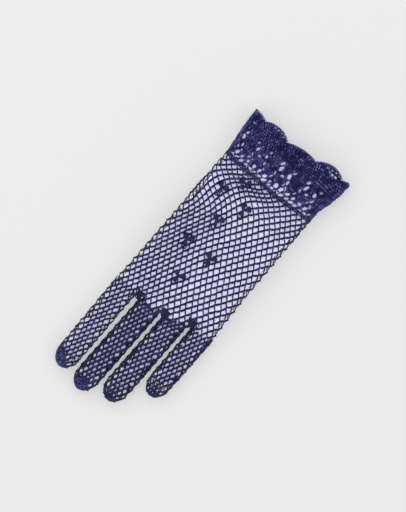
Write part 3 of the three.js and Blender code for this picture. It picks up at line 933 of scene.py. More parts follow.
class Finish(Enum):
    """The finishes of the glove."""

    NET = YarnFinish("mercerised_cotton_net", deep="08082a", body="171842", light="3e3e7c")
    LACE = YarnFinish(
        "mercerised_cotton_lace", deep="0b0b3c", body="2f316c", light="6c6cac", uneven=0.28
    )
    TIP = YarnFinish(
        "mercerised_cotton_fingertip", deep="070a3a", body="1c2152", light="62689a", uneven=0.32
    )
    ELASTIC = YarnFinish(
        "covered_elastic_thread", deep="16264a", body="243a60", light="44588a", roughness=0.55, ply=0.8
    )


@dataclass(frozen=True)
class Gauge:
    """How a net is worked, in mm: the strands that lean to the index finger's side are fuller."""

    full: float = 1.04
    thin: float = 0.6
    bow: float = 0.38
    stray: float = 0.045  # in columns, and as a share of a row
    knot: ClassVar[tuple[float, float]] = (0.0, 0.75)  # from a knot's middle to its end


def joined(groups: list[Strokes]) -> Strokes:
    """Joins groups of strokes of one kind.

    Args:
        groups: the groups, which share all that isn't an array.

    Returns:
        One group, with their arrays end to end.
    """
    first = vars(groups[0]).items()
    arrays = [name for name, value in first if isinstance(value, np.ndarray)]
    return replace(groups[0], **{name: np.concatenate([getattr(g, name) for g in groups]) for name in arrays})


def links(start: np.ndarray, end: np.ndarray, **shape: object) -> Strokes:
    """Smooth links of chain."""
    return Strokes(start, end, lumps=1, dip=0.0, **shape)


def net(columns: int, rows: np.ndarray, rng: np.random.Generator, gauge: Gauge) -> tuple[Strokes, Strokes]:
    """An open net: arches of chain from knot to knot, each row half a column on from the last.

    Args:
        columns: meshes all the way round.
        rows: the distances of the rows of knots.
        rng: the source of the stray.
        gauge: how it is worked.

    Returns:
        The strands and the knots.
    """
    shape = (len(rows), columns)
    index = np.arange(columns)
    odd = np.arange(len(rows)) % 2
    u = index + 0.5 * odd[:, None] + rng.normal(0, gauge.stray, shape)
    v = rows[:, None] + rng.normal(0, gauge.stray * NET_ROW, shape)
    strands = []
    for row in range(len(rows) - 1):
        for lean, width in ((1, gauge.full), (-1, gauge.thin)):
            target = index + (odd[row] if lean == 1 else odd[row] - 1)
            turns = target // columns * columns
            end = pairs(u[row + 1, target % columns] + turns, v[row + 1, target % columns])
            radius, bow = np.full(columns, width), np.full(columns, gauge.bow * lean)
            strands.append(Strokes(pairs(u[row], v[row]), end, radius=radius, bow=bow, flat=0.7, dip=0.16))
    middle = pairs(u.ravel(), v.ravel())
    knots = links(middle - gauge.knot, middle + gauge.knot, radius=0.95 * gauge.full, lift=0.1)
    return joined(strands), knots


@dataclass(frozen=True)
class Rounds:
    """Close rounds of short stitches with their chained tops. Sizes in mm, or in widths of a stitch."""

    height: float = STITCH_ROW
    width: float = STITCH_WIDTH
    stray: ClassVar[float] = 0.06
    lean: ClassVar[float] = 0.2
    longer: ClassVar[float] = 0.15  # how far a stitch runs into the next rounds
    chain: ClassVar[float] = 0.55  # half the length of a link of the tops
    full: ClassVar[float] = 0.47
    fullest: ClassVar[float] = 0.7

    def make(
        self, tube: FlatTube, start: float, end: float, rng: np.random.Generator
    ) -> tuple[Strokes, Strokes]:
        """Works the rounds, with as many stitches in each as its girth holds.

        Args:
            tube: the tube that they go round.
            start: where the first round starts.
            end: where the last one ends.
            rng: the source of the stray.

        Returns:
            The stitches and the chains along their tops.
        """
        edges = np.linspace(start, end, max(1, round((end - start) / self.height)) + 1)
        stitches, tops = [], []
        for row, (low, high) in enumerate(zip(edges, edges[1:])):
            girth = tube.girth((low + high) / 2)
            many = max(5, round(girth / self.width))
            pitch = tube.columns.total / many
            u = (np.arange(many) + 0.5 * (row % 2)) * pitch + rng.normal(0, self.stray * pitch, many)
            first = pairs(u, low - self.longer)
            last = pairs(u + self.lean * pitch, high + self.longer)
            radius = np.full(many, min(self.full * girth / many, self.fullest))
            stitches.append(Strokes(first, last, radius=radius, lumps=1, dip=0.5))
            link = self.chain * pitch
            low_end, high_end = pairs(u - link, high - 0.25), pairs(u + link, high + 0.2)
            # The tops are toned lighter than their stitches: a painted highlight where they stand up
            tops.append(links(low_end, high_end, radius=0.42, lift=0.3, tone=0.5))
        return joined(stitches), joined(tops)

    def work(self, work: YarnWork, tube: FlatTube, start: float, end: float) -> None:
        """Works the rounds and lays them on their tube.

        Args:
            work: the piece that is being worked.
            tube: the tube that they go round.
            start: where the first round starts.
            end: where the last one ends.
        """
        stitches, tops = self.make(tube, start, end, work.rng)
        work.lay(tube, stitches, STITCH)
        work.lay(tube, tops, KNOT)


def fined(tube: FlatTube, strokes: Strokes, inset: float, end: float = math.inf) -> Strokes:
    """Draws the underside's yarn finer past the card's edges, where it would crowd the net above it.

    Args:
        tube: the tube that the strokes lie on.
        strokes: strands or knots.
        inset: how far the card's long edges lie inside the tube's sides.
        end: where the card ends.

    Returns:
        The strokes with their radius changed.
    """
    along = strokes.middle[:, 1]
    x, y, z = strokes.middles(tube).T
    _, left, right, _ = tube.outline(along)
    bare = (x < left + inset) | (x > right - inset) | (y > end)
    low = z < (tube.top(x, along) + tube.under(x, along)) / 2
    return replace(strokes, radius=strokes.radius * np.where(low & bare, FINER, 1.0))


@dataclass
class Hand:
    """The net of the hand, as its back and its palm."""

    gauge: Gauge = Gauge()
    rows: tuple[float, float] = (2.5 - 3 * NET_ROW, HAND_LENGTH * 1.1)  # the first row, and where they end
    past_roots: float = 0.8  # how far beyond the roots of the fingers it runs
    start: float = 0.6
    card_inset: float = 4.4  # from the hand's folded sides to the card

    def build(self, material: bpy.types.Material) -> None:
        """Works the net and writes its two halves.

        Args:
            material: what the yarn is made of.
        """
        rng = np.random.default_rng(SEED)
        tube = HandTube()
        strands, knots = net(int(tube.columns.total), np.arange(*self.rows, NET_ROW), rng, self.gauge)
        for side in Side:
            work = YarnWork(f"hand_{side.value}_net", rng)
            for strokes, template in ((strands, STRAND), (knots, KNOT)):
                drawn = fined(tube, strokes, self.card_inset)
                work.lay(tube, drawn.kept(self.belongs(tube, strokes, side)), template)
            work.finish(material, "navy_net", *(["hand_body"] if side is Side.BACK else []))

    def belongs(self, tube: HandTube, strokes: Strokes, side: Side) -> np.ndarray:
        """Which strokes are part of one face.

        Args:
            tube: the hand's tube.
            strokes: strands or knots.
            side: the face.

        Returns:
            A mask over the strokes.
        """
        places = strokes.middles(tube)
        column = np.mod(strokes.middle[:, 0], tube.columns.total)
        _, start, end = tube.columns.ends
        on_palm = (column > start) & (column < end)
        short = (places[:, 1] < root_line(places[:, 0]) + self.past_roots) & (places[:, 1] > self.start)
        if side is Side.BACK:
            return short & ~on_palm
        return short & on_palm & ~in_thumb_mouth(places)


@dataclass
class Finger:
    """One finger: open net with a close-worked tip."""

    name: str
    tube: FingerTube
    gauge: Gauge
    dense: tuple[float, float, float]  # where the close work starts on the left, middle and right
    root_rows: tuple[int, float] = (0, 1.0)  # the first rows: how many, and their share of the height
    fine_from: float = math.inf  # where the underside's net turns finer, past the end of the card
    card_inset: float = 0.0  # how far from the finger's sides the underside's net is finer too
    across: ClassVar[tuple[float, ...]] = (0.12, 0.5, 0.88)  # where across those three are
    later: ClassVar[float] = 3.0  # how much further on the close work starts on the underside
    before_root: ClassVar[float] = 0.2  # how far before the root the net starts
    net_end: ClassVar[float] = 0.99  # share of the way over the tip
    tip_end: ClassVar[float] = 0.985
    sink: ClassVar[float] = 0.4  # how deep the close work lies
    inner_sink: ClassVar[float] = 1.3  # how deep its inner side lies

    def build(self, seed: int, net_material: bpy.types.Material, tip_material: bpy.types.Material) -> None:
        """Works the finger.

        Args:
            seed: what its stray starts from.
            net_material: the yarn of the net.
            tip_material: the yarn of the tip.
        """
        rng = np.random.default_rng(seed)
        tube = self.tube
        many, share = self.root_rows
        root = np.arange(-3, many) * NET_ROW * share
        rows = np.concatenate([root, np.arange(root[-1] + NET_ROW, tube.reach * self.net_end, NET_ROW)])
        work = YarnWork(f"{self.name}_net", rng)
        for strokes, template in zip(net(round(tube.columns.total), rows, rng, self.gauge), (STRAND, KNOT)):
            places = strokes.middles(tube)
            past_root = places[:, 1] > root_line(places[:, 0]) - self.before_root
            drawn = fined(tube, strokes, self.card_inset, self.fine_from)
            work.lay(tube, drawn.kept(past_root & ~self.is_dense(strokes, NET_ROW / 2)), template, sink=0.2)
        work.finish(net_material, "navy_net", self.name)
        tip = YarnWork(f"{self.name}_tip", rng)
        stitches, tops = Rounds().make(tube, min(self.dense), tube.reach * self.tip_end, rng)
        # The inner side takes the darkest tone: painted shade that shows between the stitches
        inner = replace(stitches, radius=0.85, flat=0.35, dip=0.0, tone=PAINTED_SHADE_TONE)
        tip.lay(tube, inner.kept(self.is_dense(inner)), LINK, self.inner_sink)
        for strokes, template in ((stitches, STITCH), (tops, KNOT)):
            tip.lay(tube, strokes.kept(self.is_dense(strokes)), template, self.sink)
        tip.finish(tip_material, "navy_net")

    def is_dense(self, strokes: Strokes, slack: float = 0.0) -> np.ndarray:
        """Which strokes lie in the close-worked tip.

        Args:
            strokes: strands, knots or stitches.
            slack: how much further on they may still be net.

        Returns:
            A mask over the strokes.
        """
        along = strokes.middle[:, 1]
        places = strokes.middles(self.tube)
        _, left, right, _ = self.tube.outline(np.minimum(along, self.tube.straight))
        across = (places[:, 0] - left) / (right - left)
        later = np.where(places[:, 2] < self.tube.height / 2, self.later, 0.0)
        return along > np.interp(across, self.across, self.dense) + later + slack


@dataclass
class Thumb:
    """The thumb's net pouch under the palm."""

    meshes: int = 11
    dense: float = 7.0  # how long its close-worked ends are
    closed: float = 1.0  # how far from its very ends they start

    def build(self, material: bpy.types.Material) -> None:
        """Works the pouch, with its mouth left open to the palm.

        Args:
            material: what the yarn is made of.
        """
        rng = np.random.default_rng(SEED + 40)
        tube = PodTube(
            centre=THUMB_CENTRE,
            start=THUMB_HEEL,
            length=THUMB_LENGTH,
            width=THUMB_WIDTH,
            height=THUMB_HEIGHT,
            fold=FINGER_FOLD,
            closing=TIP_LENGTH,
            columns=Columns(top=3.4, fold=2.1, under=3.4),
        )
        rows = np.arange(self.dense, tube.reach - self.dense, NET_ROW)
        work = YarnWork("thumb_net", rng)
        for strokes, template in zip(net(self.meshes, rows, rng, Gauge()), (STRAND, KNOT)):
            places = strokes.middles(tube)
            keep = ~(in_thumb_mouth(places) & (places[:, 2] > THUMB_HEIGHT / 2))
            work.lay(tube, strokes.kept(keep), template)
        far = tube.reach
        for start, end in ((self.closed, self.dense), (far - self.dense, far - self.closed)):
            Rounds().work(work, tube, start, end)
        work.finish(material, "navy_net", "thumb")


@dataclass
class Webs:
    """The close-worked webs between the fingers."""

    names: tuple[str, ...] = ("crotch_ring_little", "crotch_middle_ring", "crotch_index_middle")
    rounds: Rounds = Rounds(height=1.7, width=1.15)
    shorter: float = 0.9  # how much shorter than its solid a web is worked, at the hand's side
    narrower: float = 0.6
    fold: float = 2.9
    closing: float = 2.4
    closed: float = 0.8  # how far from its very ends the rounds start
    gathers: int = 5
    gathered_at: tuple[float, float] = (2.6, -0.2)  # where the gathered strands meet: along, and up
    spread: float = 84.0  # degrees to either side that they fan out
    reach: tuple[float, float] = (3.0, 4.4)  # how far they run
    stray: float = 5.0  # of their direction, in degrees

    def build(self, material: bpy.types.Material) -> None:
        """Works each web as a small full pouch where its solid is.

        Args:
            material: what the yarn is made of.
        """
        for number, name in enumerate(self.names):
            low, high = (np.array(corner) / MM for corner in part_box(name))
            rng = np.random.default_rng(SEED + 60 + number)
            tube = PodTube(
                centre=float((low[0] + high[0]) / 2),
                start=float(low[1]) + self.shorter,
                length=float(high[1] - low[1]) - self.shorter,
                width=WEB_WIDTH - self.narrower,
                height=float(high[2] - low[2]),
                fold=self.fold,
                closing=self.closing,
                columns=Columns(top=2, fold=10, under=2),
            )
            work = YarnWork(f"{name}_stitches", rng)
            self.rounds.work(work, tube, self.closed, tube.reach - self.closed)
            along, up = self.gathered_at
            disc = Disc(centre=(tube.centre, float(low[1]) + along, up), cloth=HandTube())
            turns = np.linspace(-1, 1, self.gathers) * self.spread + rng.normal(0, self.stray, self.gathers)
            angles = (270.0 + turns) / 360
            end = pairs(angles, rng.uniform(*self.reach, self.gathers))
            strands = Strokes(pairs(angles, 0.8), end, radius=0.6, lumps=3, dip=0.25, flat=0.7)
            work.lay(disc, strands, STRAND)
            work.finish(material, "navy_net", name)


@dataclass
class Elastic:
    """The drawn elastic at the wrist, with the net's strands crossing over it."""

    cords: tuple[float, ...] = (1.0, 0.05, -0.9)
    across: tuple[float, ...] = (-44.0, -36.0, -24.0, -8.0, 30.0, 44.0)
    height: tuple[float, ...] = (-0.6, 0.0, 1.0, 2.4, 2.6, 1.0)  # how far up it runs at those places
    back: tuple[float, float] = (4.0, 10.0)  # heights between which that sets in
    wave: tuple[float, int, float] = (0.22, 13, 0.13)  # height, waves round, and turns from cord to cord
    steps: int = 110
    overlap: tuple[float, float] = (0.25, 0.0)
    sink: float = 0.55
    crossings: int = 34
    crossing: float = 1.9  # how far above and below the band they reach
    crossed: tuple[tuple[float, float], ...] = ((0.5, 0.5), (-0.4, 0.36))  # lean and radius each way
    crossing_sink: float = 0.35

    def level(self, tube: CuffTube, u: np.ndarray) -> np.ndarray:
        """How far up the band runs at each column: it sags at the little finger's side."""
        points = tube.place(u, np.zeros_like(u))
        return np.interp(points[:, 0], self.across, self.height) * smooth(points[:, 2], *self.back)

    def build(self, elastic: bpy.types.Material, yarn: bpy.types.Material) -> None:
        """Lays the cords and the crossing strands.

        Args:
            elastic: the covered elastic.
            yarn: the cotton of the net.
        """
        rng = np.random.default_rng(SEED + 80)
        tube = CuffTube()
        total = tube.columns.total
        work = YarnWork("wrist_elastic_threads", rng)
        u = np.linspace(0, total, self.steps + 1)
        wave, waves, shift = self.wave
        for row, offset in enumerate(self.cords):
            v = self.level(tube, u) + offset + wave * np.sin(2 * math.pi * (waves * u / total + row * shift))
            places = pairs(u, v)
            start, end = places[:-1] - self.overlap, places[1:] + self.overlap
            work.lay(tube, Strokes(start, end, radius=0.52, lumps=2, dip=0.1), STITCH, self.sink)
        work.finish(elastic, "blue_elastic", "wrist_elastic")
        over = YarnWork("wrist_crossing_strands", rng)
        pitch = total / self.crossings
        u = (np.arange(self.crossings) + 0.3) * total / self.crossings
        level = self.level(tube, u)
        for lean, radius in self.crossed:
            high = pairs(u + lean * pitch, level + self.crossing)
            low = pairs(u - lean * pitch, level - self.crossing)
            strands = Strokes(high, low, radius=radius, arch=0.3, lumps=3)
            over.lay(tube, strands, STRAND, self.crossing_sink)
        over.finish(yarn, "navy_net")


# Lace holes of one repeat: how far across from the middle of the fan and how far from the wrist,
# width and height in mm, and how far the top leans to the index finger's side in degrees
LACE_HOLES = (
    (-8.2, 0.2, 1.8, 4.6, 62),
    (-3.5, 0.2, 1.7, 4.2, 60),
    (1.4, 0.2, 1.7, 4.2, 64),
    (5.8, 0.2, 1.8, 4.5, 64),
    (10.2, 0.3, 1.8, 4.7, 62),
    (-0.6, 3.2, 3.1, 3.9, 20),
    (-6.1, 3.4, 2.1, 4.2, 36),
    (5.4, 3.0, 2.1, 3.3, 44),
    (11.4, 3.0, 1.8, 3.6, 58),
    (-8.2, 6.0, 1.3, 2.6, -26),
    (-4.4, 7.0, 0.9, 2.2, 12),
    (3.2, 6.2, 0.9, 2.4, 22),
    (7.2, 6.0, 1.2, 3.2, 30),
    (-6.1, 9.8, 1.8, 3.4, 4),
    (5.9, 9.8, 1.1, 3.3, -16),
    (0.4, 10.9, 1.9, 3.0, 80),
    (-3.9, 14.4, 2.3, 3.6, -18),
    (4.5, 14.4, 2.2, 4.2, 12),
    (-5.2, 18.5, 1.5, 2.6, 34),
    (6.4, 18.6, 1.6, 3.2, 30),
)
# Fans of the upper side, from the little finger's: how far each is drawn down in mm, and the size
# of its holes
FANS = ((1.9, 1.12), (0.0, 1.14), (0.2, 0.92), (0.0, 1.05))
# Openings along the rim, through both sides: across, away from the fingers, and width in mm
RIM_HOLES = (
    (-32.2, 35.9, 1.9),
    (-29.3, 35.8, 1.9),
    (-26.6, 36.0, 1.1),
    (-33.6, 38.0, 1.2),
    (-30.5, 38.7, 1.3),
    (-27.3, 38.3, 1.3),
    (-23.6, 37.6, 1.3),
    (-10.0, 33.8, 1.0),
    (-7.8, 34.0, 1.0),
    (14.1, 33.3, 1.2),
    (17.2, 34.2, 1.2),
    (20.5, 34.4, 1.2),
    (23.6, 34.2, 1.1),
    (37.1, 27.1, 1.3),
)
# The leaves between the fans: how far from the wrist, and half their width in mm
LEAF = ((2.0, 1.3), (6.0, 3.6), (11.0, 5.2), (16.0, 4.0), (20.5, 1.6), (24.0, 4.0))


@dataclass
class Cuff:
    """The pierced band and the scalloped edging of the cuff. Sizes in mm."""

    leaf_columns: float = 3.0  # columns that each half of a leaf gathers
    row: float = 1.9
    start: float = -1.5  # where the first row starts
    stray: float = 0.07  # of a stitch, in columns
    hole_stray: tuple[float, float, float] = (0.25, 0.08, 6.0)  # of its place, size and lean
    rim_hole: float = 0.62  # half size of an opening at the rim for each mm of its width
    widen: float = 0.6  # how far a hole's edge keeps the middle of a stitch off it
    drawn_past: tuple[float, float] = (0.4, 0.86)  # how far into a hole a stroke is drawn aside, and kept
    loop: tuple[int, float, float, float] = (7, 0.38, 0.42, 0.12)  # links, how far outside, radius, overlap
    loop_sink: float = 0.45
    overlap: float = 0.15  # how far a stitch of the lace runs into the next rows
    share: tuple[float, float] = (0.42, 0.54)  # least and greatest radius as a share of its room
    radii: tuple[float, float] = (0.4, 0.9)  # the same in mm
    below_elastic: float = 0.9
    lace_sink: float = 0.8
    edging_radii: tuple[float, float] = (0.64, 0.84)
    edging_sink: float = 0.75
    rim_sink: float = 0.6
    ground_from: float = 1.6  # how far from the wrist the inner side starts
    ground_step: float = 1.1
    ground_half: float = 0.85  # half the length of its strokes
    ground_edge: float = 0.3  # how far it stays off a hole
    ground_sink: tuple[float, float] = (1.7, 1.6)  # in the lace and in the edging
    bobble: tuple[float, float, float, float] = (0.7, 2.8, 5.2, 9.0)  # widths and places of its two ends
    last_round: float = 0.5  # how far inside the scallops the last round runs
    outer_lobe: tuple[float, float, float] = (-40.8, 3.0, 3.2)  # where its rounding starts, width, depth
    tube: CuffTube = field(default_factory=CuffTube)

    def bend(self, u: np.ndarray, v: np.ndarray) -> np.ndarray:
        """Gathers the columns into leaves and opens them into fans.

        Args:
            u: even columns.
            v: distances along the cuff.

        Returns:
            The columns as they run.
        """
        outer = REPEAT / 2
        from_leaf = np.mod(u - (self.tube.fan_column() + outer) + outer, REPEAT) - outer
        depths, halves = zip(*LEAF)
        half = np.interp(-v, depths, np.array(halves) / COLUMN)
        share = np.abs(from_leaf)
        inside = share / self.leaf_columns * half
        outside = half + (share - self.leaf_columns) / (outer - self.leaf_columns) * (outer - half)
        moved = np.where(share < self.leaf_columns, inside, outside) * np.sign(from_leaf)
        return u - from_leaf + moved

    def holes(self, rng: np.random.Generator) -> np.ndarray:
        """All lace holes.

        Args:
            rng: the source of their stray.

        Returns:
            A row for each: column, distance, half width, half height and lean in radians.
        """
        place, scale, turn = self.hole_stray
        rows = []
        for number in range(FANS_ROUND):
            fan = self.tube.fan_column() + (number - 1) * REPEAT
            drop, grown = FANS[number] if number < len(FANS) else (0.0, 1.0)
            for across, depth, width, height, lean in LACE_HOLES:
                u = fan + (across + rng.normal(0, place)) / COLUMN
                dropped = drop * (0.6 + 0.4 * min(1.0, depth / 10))  # more so away from the wrist
                v = -depth - dropped + rng.normal(0, place)
                half = grown * (1 + rng.normal(0, scale)) / 2
                rows.append((u, v, width * half, height * half, math.radians(lean + rng.normal(0, turn))))
        return np.array(rows)

    def rim_holes(self) -> np.ndarray:
        """The openings along the rim, in rows as the lace holes are, on the upper side and below it.

        Returns:
            Their columns, distances, half sizes and leans.
        """
        rows = []
        columns = self.tube.columns
        for across, depth, width in RIM_HOLES:
            over = self.tube.column_at(across, -depth)
            below = columns.top + columns.fold + (columns.top - over) / columns.top * columns.under
            half = self.rim_hole * width
            rows += [(u, -depth, half, half, 0.0) for u in (over, below)]
        return np.array(rows)

    def from_holes(self, holes: np.ndarray, places: np.ndarray, edge: float) -> Arrays:
        """How places lie to the hole nearest to each.

        Args:
            holes: their columns, distances, half sizes and leans.
            places: columns and distances.
            edge: how far beyond a hole's sides its edge is taken.

        Returns:
            How far out of the hole's middle they are, 1 being its edge, and the way there from the
            middle in mm, across and along.
        """
        total = self.tube.columns.total
        across = (np.mod(places[:, :1] - holes[:, 0] + total / 2, total) - total / 2) * COLUMN
        along = places[:, 1:] - holes[:, 1]
        cosine, sine = np.cos(holes[:, 4]), np.sin(holes[:, 4])
        wide = across * cosine - along * sine
        high = across * sine + along * cosine
        out = np.hypot(wide / (holes[:, 2] + edge), high / (holes[:, 3] + edge))
        nearest = out.argmin(axis=1)[:, None]
        return tuple(np.take_along_axis(part, nearest, axis=1)[:, 0] for part in (out, across, along))

    def around(self, holes: np.ndarray, strokes: Strokes) -> Strokes:
        """Draws strokes aside at the holes, and leaves out those that would still cross one.

        Args:
            holes: their columns, distances, half sizes and leans.
            strokes: the strokes as they would lie with no hole there.

        Returns:
            The strokes round the holes.
        """
        least, kept = self.drawn_past
        ends = []
        for places in (strokes.start, strokes.end):
            for _ in range(2):
                out, across, along = self.from_holes(holes, places, self.widen)
                more = 1 / np.clip(out, least, 1) - 1
                places = places + pairs(across * more / COLUMN, along * more)
            ends.append(places)
        moved = replace(strokes, start=ends[0], end=ends[1])
        return moved.kept(self.from_holes(holes, moved.middle, self.widen)[0] > kept)

    def ground(self, near: float, far: np.ndarray | float, holes: np.ndarray) -> Strokes:
        """The inner side of the stitches, painted dark as shade, which shows in the pinholes between them.

        Args:
            near: where it starts, from the wrist.
            far: where it ends, at each half column or at all of them.
            holes: what it keeps clear.

        Returns:
            Short flat strokes, in rows.
        """
        u = np.arange(0, self.tube.columns.total, 0.5)
        rows = round((float(np.mean(far)) - near) / self.ground_step)
        step = (far - near) / rows
        middle = np.concatenate([pairs(u, -near - step * (row + 0.5)) for row in range(rows)])
        half = np.array([0.0, self.ground_half])
        # These strokes take the darkest tone: painted shade in the pinholes
        strokes = links(middle + half, middle - half, radius=0.62, flat=0.3, tone=PAINTED_SHADE_TONE)
        return strokes.kept(self.from_holes(holes, middle, self.ground_edge)[0] > 1)

    def build_lace(self, material: bpy.types.Material) -> None:
        """Works the pierced band with its bobbles and the loops round its holes.

        Args:
            material: what the yarn is made of.
        """
        rng = np.random.default_rng(SEED + 100)
        tube = self.tube
        holes = self.holes(rng)
        number = int(tube.columns.total)
        end_line = CUFF_LENGTH * LACE_SHARE + 0.2
        edges = np.linspace(self.start, end_line, round((end_line - self.start) / self.row) + 1)
        work = YarnWork("cuff_lace_stitches", rng)
        for row, (near, far) in enumerate(zip(-edges, -edges[1:])):
            even = np.arange(number) + 0.5 * (row % 2) + rng.normal(0, self.stray, number)
            start = pairs(self.bend(even, near), near + self.overlap)
            end = pairs(self.bend(even, far), far - self.overlap)
            strokes = Strokes(start, end, lumps=1, dip=0.42)
            along = strokes.middle[:, 1]
            gap = self.bend(even + 0.5, along) - self.bend(even - 0.5, along)
            radius = np.clip(gap * COLUMN * rng.uniform(*self.share, number), *self.radii)
            below = along < Elastic().level(tube, strokes.middle[:, 0]) - self.below_elastic
            strokes = replace(strokes, radius=radius).kept(below)
            work.lay(tube, self.around(holes, strokes), KNOT, self.lace_sink)
        work.lay(tube, self.ground(self.ground_from, end_line, holes), LINK, self.ground_sink[0])
        self.loop_holes(work, holes)
        self.bobbles(work)
        work.finish(material, "navy_lace", "cuff_lace")

    def loop_holes(self, work: YarnWork, holes: np.ndarray) -> None:
        """Lays a loop of yarn round each hole.

        Args:
            work: the piece that is being worked.
            holes: their columns, distances, half sizes and leans.
        """
        number, outside, radius, overlap = self.loop
        turns = 2 * math.pi * np.arange(number + 1) / number
        wide = (holes[:, 2:3] + outside) * np.cos(turns)
        high = (holes[:, 3:4] + outside) * np.sin(turns)
        cosine, sine = np.cos(holes[:, 4:5]), np.sin(holes[:, 4:5])
        u = holes[:, :1] + (wide * cosine + high * sine) / COLUMN
        places = pairs(u, holes[:, 1:2] - wide * sine + high * cosine)
        start, end = places[:, :-1].reshape(-1, 2), places[:, 1:].reshape(-1, 2)
        step = (end - start) * overlap
        work.lay(self.tube, links(start - step, end + step, radius=radius), LINK, self.loop_sink)

    def bobbles(self, work: YarnWork) -> None:
        """Works a bobble of fat stitches at the head of each fan.

        Args:
            work: the piece that is being worked.
        """
        fans = self.tube.fan_column() + np.arange(FANS_ROUND) * REPEAT
        fan = np.linspace(-1, 1, 5)
        narrow, wide, head, foot = self.bobble
        start = np.array([(u + narrow * k / COLUMN, -head - 0.3 * abs(k)) for u in fans for k in fan])
        end = np.array([(u + wide * k / COLUMN, -foot + 0.9 * abs(k)) for u in fans for k in fan])
        strokes = Strokes(start, end, radius=0.8, arch=0.6, lumps=3, dip=0.3, tone=-0.6)
        work.lay(self.tube, strokes, STRAND, self.lace_sink)

    def build_edging(self, material: bpy.types.Material) -> None:
        """Works the dense edging down to the scalloped rim.

        Args:
            material: what the yarn is made of.
        """
        rng = np.random.default_rng(SEED + 120)
        tube = self.tube
        number = int(tube.columns.total)
        near_edge = CUFF_LENGTH * LACE_SHARE + CLEARANCE
        holes = self.rim_holes()
        columns = np.arange(number, dtype=float)
        rows = round((float(self.rim(columns).mean()) - near_edge) / self.row)
        work = YarnWork("scallop_edging_stitches", rng)
        for row in range(rows):
            even = columns + 0.5 * (row % 2) + rng.normal(0, self.stray, number)
            band = self.rim(even) - near_edge
            near, far = near_edge + band * row / rows, near_edge + band * (row + 1) / rows
            start, end = pairs(even, 0.1 - near), pairs(even + 0.15, -0.1 - far)
            radius = rng.uniform(*self.edging_radii, number)
            strokes = Strokes(start, end, radius=radius, lumps=1, dip=0.5)
            work.lay(tube, self.around(holes, strokes), KNOT, self.edging_sink)
        start = pairs(columns - 0.6, -self.rim(columns))
        end = pairs(columns + 0.6, -self.rim(columns + 0.6) - 0.1)
        # The rim's chain is toned lighter: a painted highlight along the edge
        work.lay(tube, links(start, end, radius=0.5, lift=0.1, tone=1.1), LINK, self.rim_sink)
        far = self.rim(np.arange(0, number, 0.5)) - 0.6
        work.lay(tube, self.ground(near_edge, far, holes), LINK, self.ground_sink[1])
        self.loop_holes(work, holes)
        work.finish(material, "navy_lace", "scallop_edging")

    def rim(self, u: np.ndarray) -> np.ndarray:
        """How far from the wrist the edging's last round runs: its outer lobe is rounded.

        Args:
            u: columns.

        Returns:
            The distances in mm.
        """
        x = self.tube.place(u, np.full_like(u, -30.0))[:, 0]
        start, width, depth = self.outer_lobe
        rounded = depth * np.clip((start - x) / width, 0, 1) ** 2
        return scallop_bulge(x)[1] - self.last_round - rounded


@dataclass
class Flowers:
    """The three-petal clusters on the back of the hand. Sizes in mm and degrees."""

    count: int = 7
    centre: tuple[float, float] = (4.8, 0.1)  # how far before its solid's end it is, and how far up
    directions: tuple[float, ...] = (92.0, 231.0, 317.0)
    lengths: tuple[float, ...] = (3.7, 5.3, 5.2)
    opened: float = 0.9  # how far a petal's strokes fan out at its end, for each mm of its length
    strokes: int = 6
    stray: tuple[float, float, float] = (6.0, 5.0, 0.05)  # of the turn, of a direction, of a length
    loop_at: float = 4.5
    loop_radius: float = 1.75
    loop_links: int = 7
    loop_open: float = 2.3  # how far round to either side it runs, in radians

    def build(self, material: bpy.types.Material) -> None:
        """Works each cluster where its solid is.

        Args:
            material: what the yarn is made of.
        """
        before, up = self.centre
        turning, aiming, growing = self.stray
        for number in range(1, self.count + 1):
            rng = np.random.default_rng(SEED + 200 + number)
            name = f"flower_{number}"
            low, high = (np.array(corner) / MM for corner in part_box(name))
            disc = Disc(centre=(float((low[0] + high[0]) / 2), float(high[1]) - before, float(low[2]) + up))
            work = YarnWork(f"{name}_petals", rng)
            turn = rng.normal(0, turning)
            for direction, length in zip(self.directions, self.lengths):
                aim = direction + turn + rng.normal(0, aiming)
                self.petal(work, disc, aim, length * (1 + rng.normal(0, growing)))
            self.loop(work, disc, self.directions[0] + turn)
            work.finish(material, "navy_lace", name)

    def petal(self, work: YarnWork, disc: Disc, direction: float, length: float) -> None:
        """Lays a petal: long stitches out of one point, held together by a chain at their ends.

        Args:
            work: the piece that is being worked.
            disc: the patch that it lies on.
            direction: where it points.
            length: how long it is.
        """
        fan = np.linspace(-0.5, 0.5, self.strokes) * math.degrees(self.opened)
        start = pairs((direction + fan * 0.7) / 360, 0.35)
        end = pairs((direction + fan) / 360, length + work.rng.normal(0, 0.12, self.strokes))
        work.lay(disc, Strokes(start, end, radius=0.66, arch=0.4, lumps=2, dip=0.15, flat=0.9), STRAND)
        work.lay(disc, links(end[:-1], end[1:], radius=0.55, lift=0.35), KNOT)

    def loop(self, work: YarnWork, disc: Disc, direction: float) -> None:
        """Lays the open loop that holds the first petal to the net.

        Args:
            work: the piece that is being worked.
            disc: the patch that it lies on.
            direction: where it points.
        """
        angle = math.radians(direction)
        turns = angle + np.linspace(-self.loop_open, self.loop_open, self.loop_links + 1)
        x = self.loop_at * math.cos(angle) + self.loop_radius * np.cos(turns)
        y = self.loop_at * math.sin(angle) + self.loop_radius * np.sin(turns)
        places = pairs(np.arctan2(y, x) / (2 * math.pi), np.hypot(x, y))
        step = (places[1:] - places[:-1]) * 0.3
        work.lay(disc, links(places[:-1] - step, places[1:] + step, radius=0.6, lift=0.2), KNOT)


